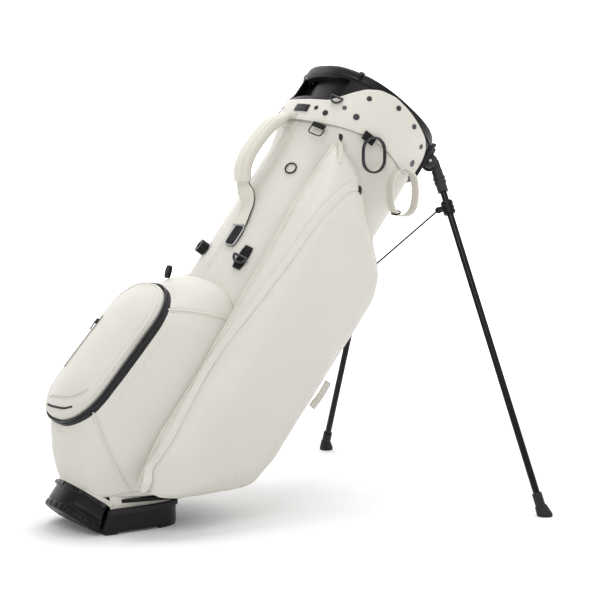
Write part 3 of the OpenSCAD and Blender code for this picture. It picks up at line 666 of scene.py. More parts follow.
def inflate(piece, cap, hold=None):
    """Fills a closed form with a cloth simulation; no point moves further than cap metres times hold."""
    rest = coords(piece)
    cloth = piece.modifiers.new("Cloth", "CLOTH")
    cloth.settings.use_pressure = True
    cloth.settings.uniform_pressure_force = 4
    cloth.settings.effector_weights.gravity = 0
    scene = bpy.context.scene
    for number in range(1, 21):
        scene.frame_set(number)
        bpy.context.view_layer.update()
    seen = piece.evaluated_get(bpy.context.evaluated_depsgraph_get())
    end = np.array([v.co for v in seen.data.vertices])
    piece.modifiers.clear()
    scene.frame_set(1)
    move = end - rest
    size = np.linalg.norm(move, axis=1)
    limit = cap * (np.ones(len(rest)) if hold is None else hold)
    set_coords(piece, rest + move * np.minimum(1, limit / np.maximum(size, 1e-9))[:, None])
    return piece


def side_path(line, side, tree, step=0.004, lift=0.0, cast=False):
    """A sewn line on a pocket: dropped on the nearest surface, or cast straight in from the side."""
    guess = smooth_path([bag(u, side * out, w) for u, out, w in line], step)
    if not cast:
        return drop(tree, guess, lift)
    hits = [tree.ray_cast(Vector(p + V * side * 0.15), Vector(-V * side)) for p in guess]
    places = np.array([h[0] if h[0] is not None else p for h, p in zip(hits, guess)])
    normals = np.array([h[1] if h[1] is not None else V * side for h in hits])
    normals = unit(relax(normals, 24))
    return relax(places, 10) + lift * normals, normals


def fill_front(piece):
    """Brings the pocket's lower front corner forward over the ball pocket's side."""
    place = to_bag(coords(piece))
    low_share = 1 - smoothstep(70, 330, place[:, 2])
    front_share = 1 - smoothstep(-40, 60, place[:, 0])
    place[:, 0] -= 14 * low_share * front_share
    set_coords(piece, bag(place[:, 0], place[:, 1], place[:, 2]))


def pocket_skin():
    """The near side pocket: a soft filled form with its seams drawn in."""
    piece = outer_shell("far_pocket", "near_pocket_skin")
    set_coords(piece, coords(piece) * np.array([1, -1, 1]))
    piece.data.flip_normals()
    remesh(piece, POCKET_VOXEL, 14)
    fill_front(piece)
    place = to_bag(coords(piece))
    above_cut = smoothstep(SKIRT_CUT, SKIRT_CUT + 0.03, coords(piece)[:, 2])
    free = smoothstep(100, 128, np.abs(place[:, 1])) * above_cut
    inflate(piece, 0.007, free)
    subdivide(piece)
    tree = surface(piece)
    seams = ((GUSSET_SEAM, 0.0016, False), (FLAP_LINE, 0.0026, True), (BACK_SEAM, 0.0016, False))
    for line, depth, cast in seams:
        path, _ = side_path(line, NEAR, tree, cast=cast)
        press_seam(piece, path, depth, 0.009 if cast else 0.005)
    ruffle(piece, 0.0014, 13.0, 3.0)
    piece.data.materials.clear()
    piece.data.materials.append(CREAM)
    return piece


def mirrored(piece, name):
    twin = piece.copy()
    twin.data = piece.data.copy()
    twin.name = name
    points = coords(twin)
    points[:, 1] *= -1
    set_coords(twin, points)
    twin.data.flip_normals()
    bpy.context.scene.collection.objects.link(twin)
    return twin


def draw_back(piece):
    """Pulls the far pocket's upper front edge back, so that the tube hides it from the front."""
    place = to_bag(coords(piece))
    front_share = 1 - smoothstep(-45, 70, place[:, 0])
    place[:, 0] += 38 * smoothstep(380, 470, place[:, 2]) * front_share
    set_coords(piece, bag(place[:, 0], place[:, 1], place[:, 2]))


def lower_piping(shape, tree, side):
    """Piping along the pocket's level lower edge."""
    reach = np.linspace(0.012, 0.175, 14)
    guess = np.stack([reach, np.full(14, side * 0.15), np.full(14, SKIRT_CUT + 0.004)], 1)
    path, normals = drop(tree, smooth_path(guess, 0.004))
    shape.cord(path, normals, 0.0023, 10, mark=1)
    shape.stitches(path + np.array([0, 0, 0.007]), normals, 0.0)


def pocket_trim(piece, side, name):
    """Piping, the raised zip flap and their stitches on one side pocket."""
    tree = surface(piece)
    shape = Shape()
    path, normals = side_path(GUSSET_SEAM, side, tree)
    shape.cord(path, normals, 0.0026, 10, mark=1)
    for offset in (0.0062, 0.0092):
        shape.stitches(path, normals, side * offset)
    path, normals = side_path(BACK_SEAM, side, tree, lift=0.0006)
    shape.cord(path, normals, 0.0023, 10, mark=1)
    shape.stitches(path, normals, -side * 0.006)
    path, normals = side_path(FLAP_LINE, side, tree, lift=0.0014, cast=True)
    ends = np.minimum(1, 0.35 + np.minimum(np.arange(len(path)), np.arange(len(path))[::-1]) / 4)
    shape.sweep(path, normals, strap_profile(0.0145, 0.0036, 28, 3), taper=ends, mark=2)
    for offset in (-0.0056, 0.0056):
        shape.stitches(path + normals * 0.0012, normals, offset)
    lower_piping(shape, tree, side)
    return shape.build(name, "bag", [THREAD, PIPING, CREAM], "pocket_leather")


# ---------- ball pocket ----------

DOOR_HINGE = JOINTS["ball_pocket_door_hinge"]
door_up = -np.array(DOOR_HINGE["axis"])
door_up = door_up / np.linalg.norm(door_up)
door_back = np.array([door_up[2], 0, -door_up[0]])
door_points = node_points("ball_pocket_door")
DOOR_W = (door_points[:, 1].max() - door_points[:, 1].min()) / MM + 8
tape_points = node_points("ball_pocket_zip")
DOOR_BOTTOM = (tape_points @ door_up).min()
DOOR_H = ((tape_points @ door_up).max() - DOOR_BOTTOM) / MM
ZIP_BACK = (tape_points @ door_back).max()
ZIP_FRONT = (tape_points @ door_back).min()
ZIP_W = (ZIP_BACK - ZIP_FRONT) / MM
DOOR_CORNER = 74.0


def door(x, y, z):
    """World place of a point in the door's frame: x back into the bag, y across, z up the door."""
    x, y, z = np.broadcast_arrays(np.asarray(x, float), y, z)
    return (door_back * (ZIP_FRONT + MM * x[..., None]) + np.array([0, MM, 0]) * y[..., None]
            + door_up * (DOOR_BOTTOM + MM * z[..., None]))


def door_outline(inset, count=160):
    """(across, up) round the door's rounded outline, starting at its far side, half way up."""
    half_w, half_h = DOOR_W / 2 - inset, DOOR_H / 2 - inset
    radius = min(max(DOOR_CORNER - inset, 12.0), half_w)
    corners = []
    for cy, cz, start in ((1, 1, 0), (-1, 1, 90), (-1, -1, 180), (1, -1, 270)):
        for step in range(13):
            a = math.radians(start + 90 * step / 12)
            corners.append((cy * (half_w - radius) + radius * math.cos(a),
                            cz * (half_h - radius) + radius * math.sin(a)))
    loop = np.array([(half_w, 0)] + corners + [(half_w, 0)])
    length = np.concatenate([[0], np.cumsum(np.linalg.norm(np.diff(loop, axis=0), axis=1))])
    at = np.linspace(0, length[-1], count + 1)[:-1]
    return np.interp(at, length, loop[:, 0]), np.interp(at, length, loop[:, 1]) + DOOR_H / 2


def front_wall(v, w):
    """u of the bag's front surface at (v, w)."""
    share = np.clip((TUBE_LOW - w) / (TUBE_LOW - SKIRT_LOW), 0, 1)
    a = TUBE_A + share * (BASE_FRONT - TUBE_A)
    b = TUBE_B + share * (BASE_B - TUBE_B)
    x = TUBE_X + share * (BASE_X - TUBE_X)
    reach = np.clip(np.abs(v) / b, 0, 0.985) ** SQUARENESS
    return x - a * (1 - reach) ** (1 / SQUARENESS)


BALL_TOP, BALL_LOW, BALL_HALF = 431.0, 29.0, 106.0


def ball_rear(count):
    """Where the ball pocket meets the bag, matched to the door's outline point by point."""
    y, z = door_outline(0, count)
    turn = np.arctan2((z - DOOR_H / 2) / (DOOR_H / 2), y / (DOOR_W / 2))
    middle = (BALL_TOP + BALL_LOW) / 2
    square = np.where(z > DOOR_H / 2, 5.0, 14.0)
    reach = (np.abs(np.cos(turn)) ** square + np.abs(np.sin(turn)) ** square) ** (-1 / square)
    v = BALL_HALF * np.cos(turn) * reach
    w = middle + (BALL_TOP - BALL_LOW) / 2 * np.sin(turn) * reach
    narrow = smoothstep(BALL_LOW, 110, w)
    v = v * (0.74 + 0.26 * narrow)
    return front_wall(v, w), v, w


BALL_COLUMNS = 200
BALL_ROWS = 26


def ball_wall_points():
    """Grid of the ball pocket's wall, from the zip back to the bag."""
    y, z = door_outline(0, BALL_COLUMNS)
    front = to_bag(door(ZIP_W - 1, y, z))
    ru, rv, rw = ball_rear(BALL_COLUMNS)
    rear = np.stack([ru - 1.5, rv, rw], 1)
    share = np.linspace(0, 1, BALL_ROWS)[:, None, None]
    middle = np.array([0, 0, (BALL_TOP + BALL_LOW) / 2])
    away = unit(((front + rear) / 2 - middle) * np.array([0, 1, 1]))
    span = np.linalg.norm(rear - front, axis=1)[None, :, None]
    crown = np.sin(share * math.pi) * np.minimum(0.085 * span, 8.0)
    return front[None] * (1 - share) + rear[None] * share + away[None] * crown


def ball_corner_columns():
    """Columns of the wall's grid that run along its four corners."""
    y, z = door_outline(0, BALL_COLUMNS)
    found = []
    for sy, sz in ((1, 1), (-1, 1), (-1, -1), (1, -1)):
        found.append(int(np.argmax(sy * y / DOOR_W + sz * (z - DOOR_H / 2) / DOOR_H)))
    return found


def ball_pocket():
    """Wall of the ball pocket with corner seams, open behind its door."""
    points = ball_wall_points()
    place = bag(points[..., 0], points[..., 1], points[..., 2])
    piece = make("ball_pocket_wall", place, grid_faces(BALL_ROWS, BALL_COLUMNS, True), [CREAM, LINING])
    subdivide(piece)
    ruffle(piece, 0.0016, 15.0, 7.0)
    thicken(piece, 0.003, 1 if wall_normal_inwards(piece) else -1, 1)
    settle(piece, "bag", ("ball_pocket",))
    shape = Shape()
    tree = surface(piece)
    for column in ball_corner_columns():
        path, normals = drop(tree, smooth_path(place[:, column] + 0.002 * outward(place[:, column]), 0.004))
        shape.cord(path, normals, 0.0019, 8, mark=1)
        for offset in (-0.0046, 0.0046):
            shape.stitches(path, normals, offset)
    top = to_bag(place[-2])[:, 2] > BALL_TOP - 40
    rim = place[-2][top]
    path, normals = drop(tree, smooth_path(rim[np.argsort(rim[:, 1])], 0.005))
    shape.cord(path, normals, 0.0022, 8, mark=1)
    rim = place[3]
    path, normals = drop(tree, smooth_path(rim, 0.005, True))
    shape.stitches(path, normals, 0.0)
    shape.build("ball_pocket_seams", "bag", [THREAD, PIPING], "pocket_leather")
    return piece


def outward(points):
    """Directions away from the ball pocket's middle line."""
    place = to_bag(points)
    away = place - np.array([place[:, 0].mean(), 0, (BALL_TOP + BALL_LOW) / 2])
    away[:, 0] = 0
    away = unit(away)
    return away[:, :1] * U + away[:, 1:2] * V + away[:, 2:] * W


def wall_normal_inwards(piece):
    points, normals = coords(piece), vertex_normals(piece)
    return (outward(points) * normals).sum(1).mean() < 0


DOOR_RIM = 10.0
DOOR_CROWN = 19.0


def door_surface(rings=18, columns=160):
    """Crowned outer face of the door, from its edge to its middle."""
    layers = []
    for inset, x in ((4.0, -0.5), (3.2, -4.0), (3.0, -8.0), (4.2, -DOOR_RIM - 1.5)):
        y, z = door_outline(inset, columns)
        layers.append(door(x, y, z))
    edge_y, edge_z = door_outline(6.5, columns)
    hub_y, hub_z = door_outline(DOOR_W / 2 - 3, columns)
    for share in np.linspace(0.02, 1, rings):
        y = edge_y + (hub_y - edge_y) * share
        z = edge_z + (hub_z - edge_z) * share
        crown = DOOR_CROWN * (1 - (1 - share) ** 2.4) * (1.0 - 0.18 * smoothstep(0.2, 1.0, z / DOOR_H))
        layers.append(door(-DOOR_RIM - 2.5 - crown, y, z))
    return np.array(layers)


def ball_door():
    """The padded door: crowned leather over foam, piped round its edge."""
    layers = door_surface()
    rows, columns = layers.shape[:2]
    faces = grid_faces(rows, columns, True)
    faces.append(tuple((rows - 1) * columns + c for c in range(columns)))
    piece = make("ball_pocket_door_skin", layers, faces, [CREAM, LINING])
    subdivide(piece)
    ruffle(piece, 0.0018, 14.0, 11.0)
    facing_out = (vertex_normals(piece) @ -door_back).mean() > 0
    thicken(piece, 0.003, -1 if facing_out else 1, 1)
    settle(piece, "ball_pocket_door", ("ball_pocket_door",))
    tree = surface(piece)
    shape = Shape()
    y, z = door_outline(5.2, 200)
    path, normals = drop(tree, door(-DOOR_RIM - 3, y, z))
    shape.cord(path, normals, 0.0021, 8, closed=True, mark=1)
    y, z = door_outline(12.5, 200)
    path, normals = drop(tree, door(-DOOR_RIM - 8, y, z))
    shape.stitches(path, normals, 0.0)
    patch_seam(shape, tree)
    coin_zip(shape, tree)
    shape.build("door_trim", "ball_pocket_door", [THREAD, PIPING, ZIP_TAPE, ZIP_TEETH, BLACK],
                "pocket_leather")
    return piece


def patch_seam(shape, tree):
    """Curved seam low on the door, over a slit for a towel tab."""
    line = [(52, 26), (20, 30), (-20, 34), (-52, 46), (-68, 62)]
    path, normals = drop(tree, smooth_path([door(-34, y, z) for y, z in line], 0.004), 0.0004)
    shape.sweep(path, normals, strap_profile(0.003, 0.0016), mark=1)
    shape.stitches(path, normals, 0.0035)
    line = [(44, 11), (10, 10), (-30, 14), (-50, 22)]
    path, normals = drop(tree, smooth_path([door(-30, y, z) for y, z in line], 0.004), 0.0003)
    shape.sweep(path, normals, strap_profile(0.0035, 0.0012), mark=2)


def coin_zip(shape, tree):
    """Small pocket zip up the door's crown."""
    guess = smooth_path([door(-40, 50, z) for z in np.linspace(84, 190, 8)], 0.003)
    path, normals = drop(tree, guess, 0.0004)
    shape.sweep(path, normals, strap_profile(0.008, 0.0016), mark=2)
    shape.sweep(path + normals * 0.001, normals, strap_profile(0.0028, 0.0016), mark=3)
    for offset in (-0.0056, 0.0056):
        shape.sweep(path + path_frames(path, normals, False)[1] * offset, normals,
                    round_profile(0.0011, 8), mark=1)


def ball_zip():
    """The zip's two tapes and its teeth, one half on the bag and one on the door."""
    y, z = door_outline(0.0, 260)
    out = unit(np.stack([y / DOOR_W, (z - DOOR_H / 2) / DOOR_H], 1))
    normals = out[:, :1] * V + out[:, 1:] * door_up
    for name, body, x, width, nodes in (("zip_bag_half", "bag", 5.6, 10.4, ("ball_pocket_zip",)),
                                        ("zip_door_half", "ball_pocket_door", -2.4, 4.2, ())):
        shape = Shape()
        shape.sweep(door(x, y, z), normals, strap_profile(width * MM, 0.0036, squareness=4), closed=True)
        teeth = door(x - width * 0.42, y, z) + normals * 0.0016
        shape.sweep(teeth, normals, strap_profile(0.0014, 0.0012), closed=True, mark=1)
        shape.build(name, body, [ZIP_TAPE, ZIP_TEETH], "black_webbing", nodes)


# ---------- base shell ----------

SHELL_COLUMNS = 150
# Down the outside, across the underside, back over the floor and up the inside: (w, grow, spread)
SHELL_PROFILE = [
    (25.5, 1.4, 1), (25.2, 2.6, 1), (24.0, 3.2, 1), (21.0, 3.4, 1), (18.6, 3.2, 1), (18.0, 2.2, 1),
    (17.6, 0.6, 1), (16.4, 0.0, 1), (14.4, 0.0, 1), (12.0, 0.0, 1), (9.6, 0.0, 1), (7.2, 0.0, 1),
    (4.8, 0.0, 1), (2.4, 0.0, 1),
    (0.0, 0.0, 1), (-2.4, 0.0, 1), (-4.6, 0.0, 1), (-6.4, 0.0, 1), (-7.2, -1.3, 1), (-8.8, -1.3, 1),
    (-9.6, 0.4, 1), (-12.0, 0.6, 1), (-14.4, 0.6, 1), (-16.8, 0.3, 1), (-18.8, -0.6, 1), (-20.0, -2.4, 1),
    (-20.0, -8.0, 1), (-20.0, -8.0, 0.4), (-20.0, -8.0, 0.02), (-13.0, -8.0, 0.02), (-13.0, -8.0, 0.4),
    (-13.0, -7.0, 1), (-8.0, -6.0, 1), (18.0, -5.5, 1), (25.5, -4.5, 1),
]
SCOOP_U, SCOOP_W, SCOOP_LONG, SCOOP_TALL, SCOOP_DEEP = -30.0, 4.5, 33.0, 12.5, 7.0


def shell_edge(w):
    """u of the shell's rear edge at height w."""
    hinge_w = HINGE_W / MM
    return np.where(w < hinge_w, -2.0, -2.0 - 14.0 * (w - hinge_w) / 40.0)


def base_shell():
    """Moulded front of the base: collar, scooped sides, a groove and a ribbed toe."""
    rows = []
    for w, grow, spread in SHELL_PROFILE:
        edge = shell_edge(w)
        turn = math.acos(-((BASE_X - edge) / (BASE_FRONT + grow)) ** (BASE_ROUND / 2))
        angle = np.linspace(turn, FULL_TURN - turn, SHELL_COLUMNS)
        u, v = base_ring(angle, grow)
        off = ((u - SCOOP_U) / SCOOP_LONG) ** 2 + ((w - SCOOP_W) / SCOOP_TALL) ** 2
        deep = SCOOP_DEEP * np.clip(1 - off, 0, 1) ** 1.4 * (np.abs(v) > 40) * (grow > -1) * (w > -6.5)
        ribs = 0.9 * smoothstep(0.2, 0.7, np.cos(angle * 34)) * (grow > 0) * (w < -9)
        v = v - np.sign(v) * (deep + ribs * np.abs(np.sin(angle)))
        u = u + ribs * np.abs(np.cos(angle))
        rows.append(bag(edge + (u - edge) * spread, v * spread, w))
    layers = np.array(rows)
    count = len(SHELL_PROFILE)
    faces = grid_faces(count, SHELL_COLUMNS)
    for column in range(SHELL_COLUMNS - 1):
        last = (count - 1) * SHELL_COLUMNS + column
        faces.append((last, last + 1, column + 1, column))
    faces.append(tuple(row * SHELL_COLUMNS for row in range(count)))
    faces.append(tuple(row * SHELL_COLUMNS + SHELL_COLUMNS - 1 for row in range(count))[::-1])
    return make("base_shell_moulding", layers, faces, [BLACK], "bag",
                ("base_shell", "base_collar"))


def base_trim():
    """Cream band along the shell's collar, and the shell's hinge knuckles."""
    turn = np.linspace(0.60, 1.40, 70) * math.pi
    u, v = base_ring(turn, 1.6)
    shape = Shape()
    normals = unit(bag(u, v, 0) - bag(BASE_X, 0, 0))
    shape.sweep(bag(u, v, 29.5), normals, strap_profile(0.008, 0.0022, 16, 3))
    shape.build("base_band", "bag", [PIPING], "strap_leather")
    knuckles = Shape()
    stations = np.array([-12.0, 0.0, 12.0])
    for middle in (-48, 48):
        across = bag(0 * stations, middle + stations, HINGE_W / MM)
        knuckles.sweep(across, np.tile(W, (len(stations), 1)), round_profile(0.0058, 20))
    knuckles.build("base_knuckles", "bag", [BLACK], "black_plastic")


# ---------- gusset between the bag and the foot plate ----------

def base_gusset():
    """Folded leather between the bag and the foot plate, made as one fixed piece in its place."""
    columns = 160
    angle = np.linspace(-0.535, 0.535, columns) * math.pi
    tucked = 1 - smoothstep(0.46, 0.535, np.abs(angle) / math.pi)
    top_z = SKIRT_CUT + 0.016
    bottom_z = PLATE_TOP - 0.004
    rows = np.linspace(0, 1, 17)
    hinge = np.array(HINGE["pos_m"])
    layers = []
    for share in rows:
        grow = -6.0 + 4.0 * share + (5.0 * math.sin(share * math.pi) - 1.0) * tucked
        pu, pv = base_ring(angle, grow)
        z = np.full(columns, top_z + (bottom_z - top_z) * share)
        fold = 1.6 * np.sin(angle * 11.0) * math.sin(share * math.pi) * tucked
        x = hinge[0] + MM * (pu + fold * np.cos(angle))
        y = MM * (pv + fold * np.sin(angle))
        layers.append(np.stack([x, y, z], 1))
    layers = np.array(layers)
    piece = make("base_gusset", layers, grid_faces(len(rows), columns), [CREAM])
    thicken(piece, 0.0018, 0)
    subdivide(piece)
    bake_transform(piece)
    return piece


# ---------- cuff cover ----------

# Side-view edges of the leather cover, as (u, w) from the front to the back
COVER_TOP = [(-90, 792), (-82, 792), (-67, 800), (-51, 829), (-39, 845), (-20, 858), (7, 864), (37, 862),
             (70, 856), (100, 849), (121, 838), (132, 818)]
COVER_LOW = [(-90, 752), (-82, 752), (-68, 754), (-47, 763), (-18, 772), (8, 779), (40, 780), (74, 777),
             (94, 773), (116, 780), (132, 792)]
COVER_THICK = 3.0


def cuff_cover():
    """Leather wrapped round the cuff, with a padded edge and stitch lines."""
    columns, rows = 260, 18
    angle = np.linspace(0.26, 1.74, columns) * math.pi
    u, _ = ring(CUFF_A + 1, CUFF_B + 1, CUFF_X, angle)
    top = relax(np.interp(u, *np.array(COVER_TOP, float).T), 6)
    low = relax(np.interp(u, *np.array(COVER_LOW, float).T), 6)
    share = np.linspace(0, 1, rows)[:, None]
    w = low + share * (top - low)
    inwards = 1 - smoothstep(CUFF_LOW - 30, CUFF_LOW + 2, w)
    crown = np.sin(share * math.pi) - inwards * 1.5
    cu, cv = ring(CUFF_A + 2.4, CUFF_B + 2.4, CUFF_X, angle[None])
    cu = cu + crown * np.cos(angle)
    cv = cv + crown * np.sin(angle)
    piece = make("cuff_cover_skin", bag(cu, cv, w), grid_faces(rows, columns), [CREAM])
    thicken(piece, COVER_THICK * MM, 0)
    shade_smooth(freeze(soften(piece, 0.0009)))
    ruffle(piece, 0.0006, 24.0, 5.0)
    settle(piece, "bag", ("cuff_cover",))
    tree = surface(piece)
    shape = Shape()
    for edge, sign in ((top, -1), (low, 1)):
        eu, ev = ring(CUFF_A + 12, CUFF_B + 12, CUFF_X, angle)
        guess = bag(eu, ev, edge + sign * 4.0)
        path, normals = drop(tree, smooth_path(guess[2:-2], 0.004))
        shape.stitches(path, normals, 0.0)
    shape.build("cuff_stitches", "bag", [THREAD], "strap_leather")
    return piece


# ---------- moulded cuff rim ----------

WINDOW_LOW, WINDOW_HIGH, WINDOW_HALF = CUFF_LOW + 18, CUFF_TOP - 20, 78.0
WALL = 4.0


def cuff_rim():
    """Moulded rim: a wall with a hand opening in front, under a thick rounded lip and grab bar."""
    columns = 240
    angle = np.arange(columns) * FULL_TURN / columns
    heights = np.array([CUFF_LOW, CUFF_LOW + 3, 797, WINDOW_LOW, 814, 824, 834, 844,
                        WINDOW_HIGH, CUFF_TOP - 8])
    mu, mv = ring(CUFF_A - 2, CUFF_B - 2, CUFF_X, angle)
    grid = bag(mu[None], mv[None], heights[:, None])
    window = (np.abs(mv) < WINDOW_HALF) & (mu < CUFF_X)
    faces = []
    for face_number, face in enumerate(grid_faces(len(heights), columns, True)):
        row, column = divmod(face_number, columns)
        if window[column] and window[(column + 1) % columns] and 3 <= row < 8:
            continue
        faces.append(face)
    wall = make("rim_wall", grid, faces, [BLACK])
    thicken(wall, WALL * MM, 0)
    freeze(soften(wall, 0.0012, 50))
    settle(wall, "bag", ("top_cuff",))
    shape = Shape()
    depth = 1 - smoothstep(40, 84, np.abs(mv))
    grip = np.where(mu < CUFF_X, depth, 0)
    lip_u, lip_v = ring(CUFF_A - 5, CUFF_B - 5, CUFF_X, angle)
    path = bag(lip_u, lip_v, CUFF_TOP - 8 - 3.5 * grip)
    thick = 1 + 0.5 * grip
    profile = strap_profile(0.0165, 0.0105, 28, 3.2)
    normals = unit(bag(lip_u, lip_v, 0) - bag(CUFF_X, 0, 0))
    shape.sweep(path, normals, profile, closed=True, taper=thick)
    ring_path = bag(*ring(CUFF_A + 0.6, CUFF_B + 0.6, CUFF_X, angle), CUFF_TOP - 15.5)
    shape.cord(ring_path, normals, 0.0016, 8, closed=True)
    for v in (-84, 84):
        keeper(shape, v)
    grip_turn = np.linspace(0.76, 1.24, 40) * math.pi
    hung = ((8, CUFF_TOP - 6), (16, CUFF_TOP - 9), (22, CUFF_TOP - 16), (24, WINDOW_LOW - 3))
    curtain = [bag(*ring(CUFF_A - inset, CUFF_B - inset, CUFF_X, grip_turn), w) for inset, w in hung]
    shape.grid(np.array(curtain))
    return shape.build("rim_lip", "bag", [BLACK], "black_plastic")


def keeper(shape, v):
    """Raised ridge over the lip at each end of the grab bar."""
    reach = (1 - (abs(v) / CUFF_B) ** SQUARENESS) ** (1 / SQUARENESS)
    middle_u = CUFF_X - (CUFF_A - 5) * reach
    away = unit(np.array([[-(CUFF_A - 5) * reach, v]]))[0]
    turn = np.linspace(-0.55, 0.55, 15) * math.pi
    arc_u = middle_u + away[0] * 7.2 * np.sin(turn)
    arc_v = v + away[1] * 7.2 * np.sin(turn)
    arc_w = CUFF_TOP - 8 + 9.8 * np.cos(turn)
    path = bag(arc_u, arc_v, arc_w)
    normals = unit(path - bag(middle_u, v, CUFF_TOP - 8))
    shape.sweep(path, normals, strap_profile(0.007, 0.0022))


def towel_ring():
    """Thick flat ring hanging upright by the cuff's side."""
    hang = np.array(JOINTS["towel_ring_swing"]["pos_m"])
    turn = np.arange(72) * FULL_TURN / 72
    radius, straight = 0.0218, 0.0075
    rise = radius * np.sin(turn) + straight * np.tanh(6 * np.sin(turn))
    path = hang + np.stack([radius * np.cos(turn), 0 * turn, rise - 0.0285], 1)
    normals = np.stack([np.cos(turn), 0 * turn, np.sin(turn)], 1)
    shape = Shape()
    shape.sweep(path, normals, strap_profile(0.0068, 0.0040, 20, 3.4), closed=True)
    return shape.build("towel_ring_band", "towel_ring", [GUNMETAL], "dark_metal", ("towel_ring",))


# ---------- straps, handle and tags ----------

def sewn_strap(shape, path, normals, width, thick, inset=0.0026, mark=0, thread=1, taper=None):
    """Leather strap with a stitch line inside each edge."""
    shape.sweep(path, normals, strap_profile(width, thick, 24, 4), taper=taper, mark=mark)
    face = path + np.asarray(normals) * thick * 0.46
    for side in (-1, 1):
        shape.stitches(face, normals, side * (width / 2 - inset), mark=thread)


GRIP_WIDTH = 0.040
GRIP_THICK = 0.020
HANDLE_V = -4.0


def carry_handle():
    """Padded leather grip with a seam along its face, cut off bluntly at its lower end."""
    line = [(-79, 758), (-92, 748), (-106, 721), (-112, 686), (-112, 652), (-105, 627), (-92, 610)]
    path = smooth_path([bag(u, HANDLE_V, w) for u, w in line], 0.003)
    centre = bag(-30, HANDLE_V, 680)
    normals = unit(path - centre)
    share = np.linspace(0, 1, len(path))
    fat = 0.45 + 0.55 * smoothstep(0.02, 0.25, share)
    _, across, out = path_frames(path, normals, False)
    profile = strap_profile(GRIP_WIDTH, GRIP_THICK, 28, 3.2)
    wide = 0.7 + 0.3 * smoothstep(0.02, 0.22, share)
    rings = path[:, None] + profile[None, :, :1] * across[:, None] * wide[:, None, None] \
        + profile[None, :, 1:] * out[:, None] * fat[:, None, None]
    shape = Shape()
    count = len(profile)
    faces = grid_faces(len(path), count, True)
    faces += [tuple(range(count))[::-1], tuple((len(path) - 1) * count + c for c in range(count))]
    shape.add(rings, faces)
    face = path + out * (GRIP_THICK * 0.47 * fat)[:, None]
    near_edge = np.sign(across[0] @ -V)
    seam = face + across * near_edge * GRIP_WIDTH * 0.3 - out * 0.0006
    shape.cord(seam, normals, 0.0011, 8, mark=2)
    shape.stitches(seam[4:-4] - across[4:-4] * near_edge * 0.003, normals[4:-4], 0, mark=1)
    shape.build("carry_handle_grip", "carry_handle", [STRAP, THREAD, PIPING], "strap_leather",
                ("carry_handle",))


def handle_anchors():
    """Flat strap that runs from the grip's lower end in to the tube, and the patch at its upper end."""
    front = TUBE_X - TUBE_A
    shape = Shape()
    path = smooth_path(bag(front - 6.5, HANDLE_V + 8, np.linspace(738, 772, 5)), 0.004)
    shape.sweep(path, -U, strap_profile(0.034, 0.006, 28, 6))
    line = [(-95, HANDLE_V, 614), (-84, -6, 602), (-73, -12, 592), (front - 2.5, -17, 580),
            (front - 1.5, -22, 566), (front - 1, -27, 550), (front - 0.6, -29, 540)]
    path = smooth_path([bag(*place) for place in line], 0.003)
    normals = unit(path - bag(30, 6, 600))
    shape.sweep(path, normals, strap_profile(0.030, 0.004, 24, 6))
    _, across, out = path_frames(path, normals, False)
    near_edge = np.sign(across[0] @ -V)
    shape.cord(path + across * near_edge * 0.0148, normals, 0.0010, 8, mark=2)
    shape.stitches(path + out * 0.0018, normals, -near_edge * 0.011, mark=1)
    shape.build("handle_anchor_patches", "bag", [STRAP, THREAD, WEBBING], "strap_leather",
                ("handle_anchors",))


def umbrella_loop():
    """Leather loop hanging below the cuff, its end curled back through a metal keeper."""
    low, high = box_of("umbrella_loop")
    centre = (low + high) / 2
    half_x, _, half_z = (high - low) / 2 - 0.002
    angle = np.linspace(0.62, 2.42, 90) * math.pi
    x, z = half_x * power(np.cos(angle), 0.8), half_z * power(np.sin(angle), 0.8)
    path = centre + np.stack([x, 0 * angle, z], 1)
    path[:, 1] += np.linspace(0.0006, -0.0006, 90)
    normals = unit(path - centre)
    shape = Shape()
    sewn_strap(shape, path, normals, 0.0215, 0.0030, 0.0026)
    shape.build("umbrella_strap", "umbrella_loop", [STRAP, THREAD], "strap_leather", ("umbrella_loop",))
    clip = Shape()
    at = centre + np.array([-half_x * 0.55, 0, -half_z * 0.86])
    turn = np.arange(40) * FULL_TURN / 40
    frame_path = (at + np.outer(np.cos(turn), V) * 0.0125
                  + np.outer(np.sin(turn), np.array([0.75, 0, 0.66])) * 0.0046)
    clip.cord(frame_path, np.array([0.66, 0, -0.75]), 0.0015, 8, closed=True)
    clip.build("umbrella_keeper", "umbrella_loop", [GUNMETAL], "dark_metal")


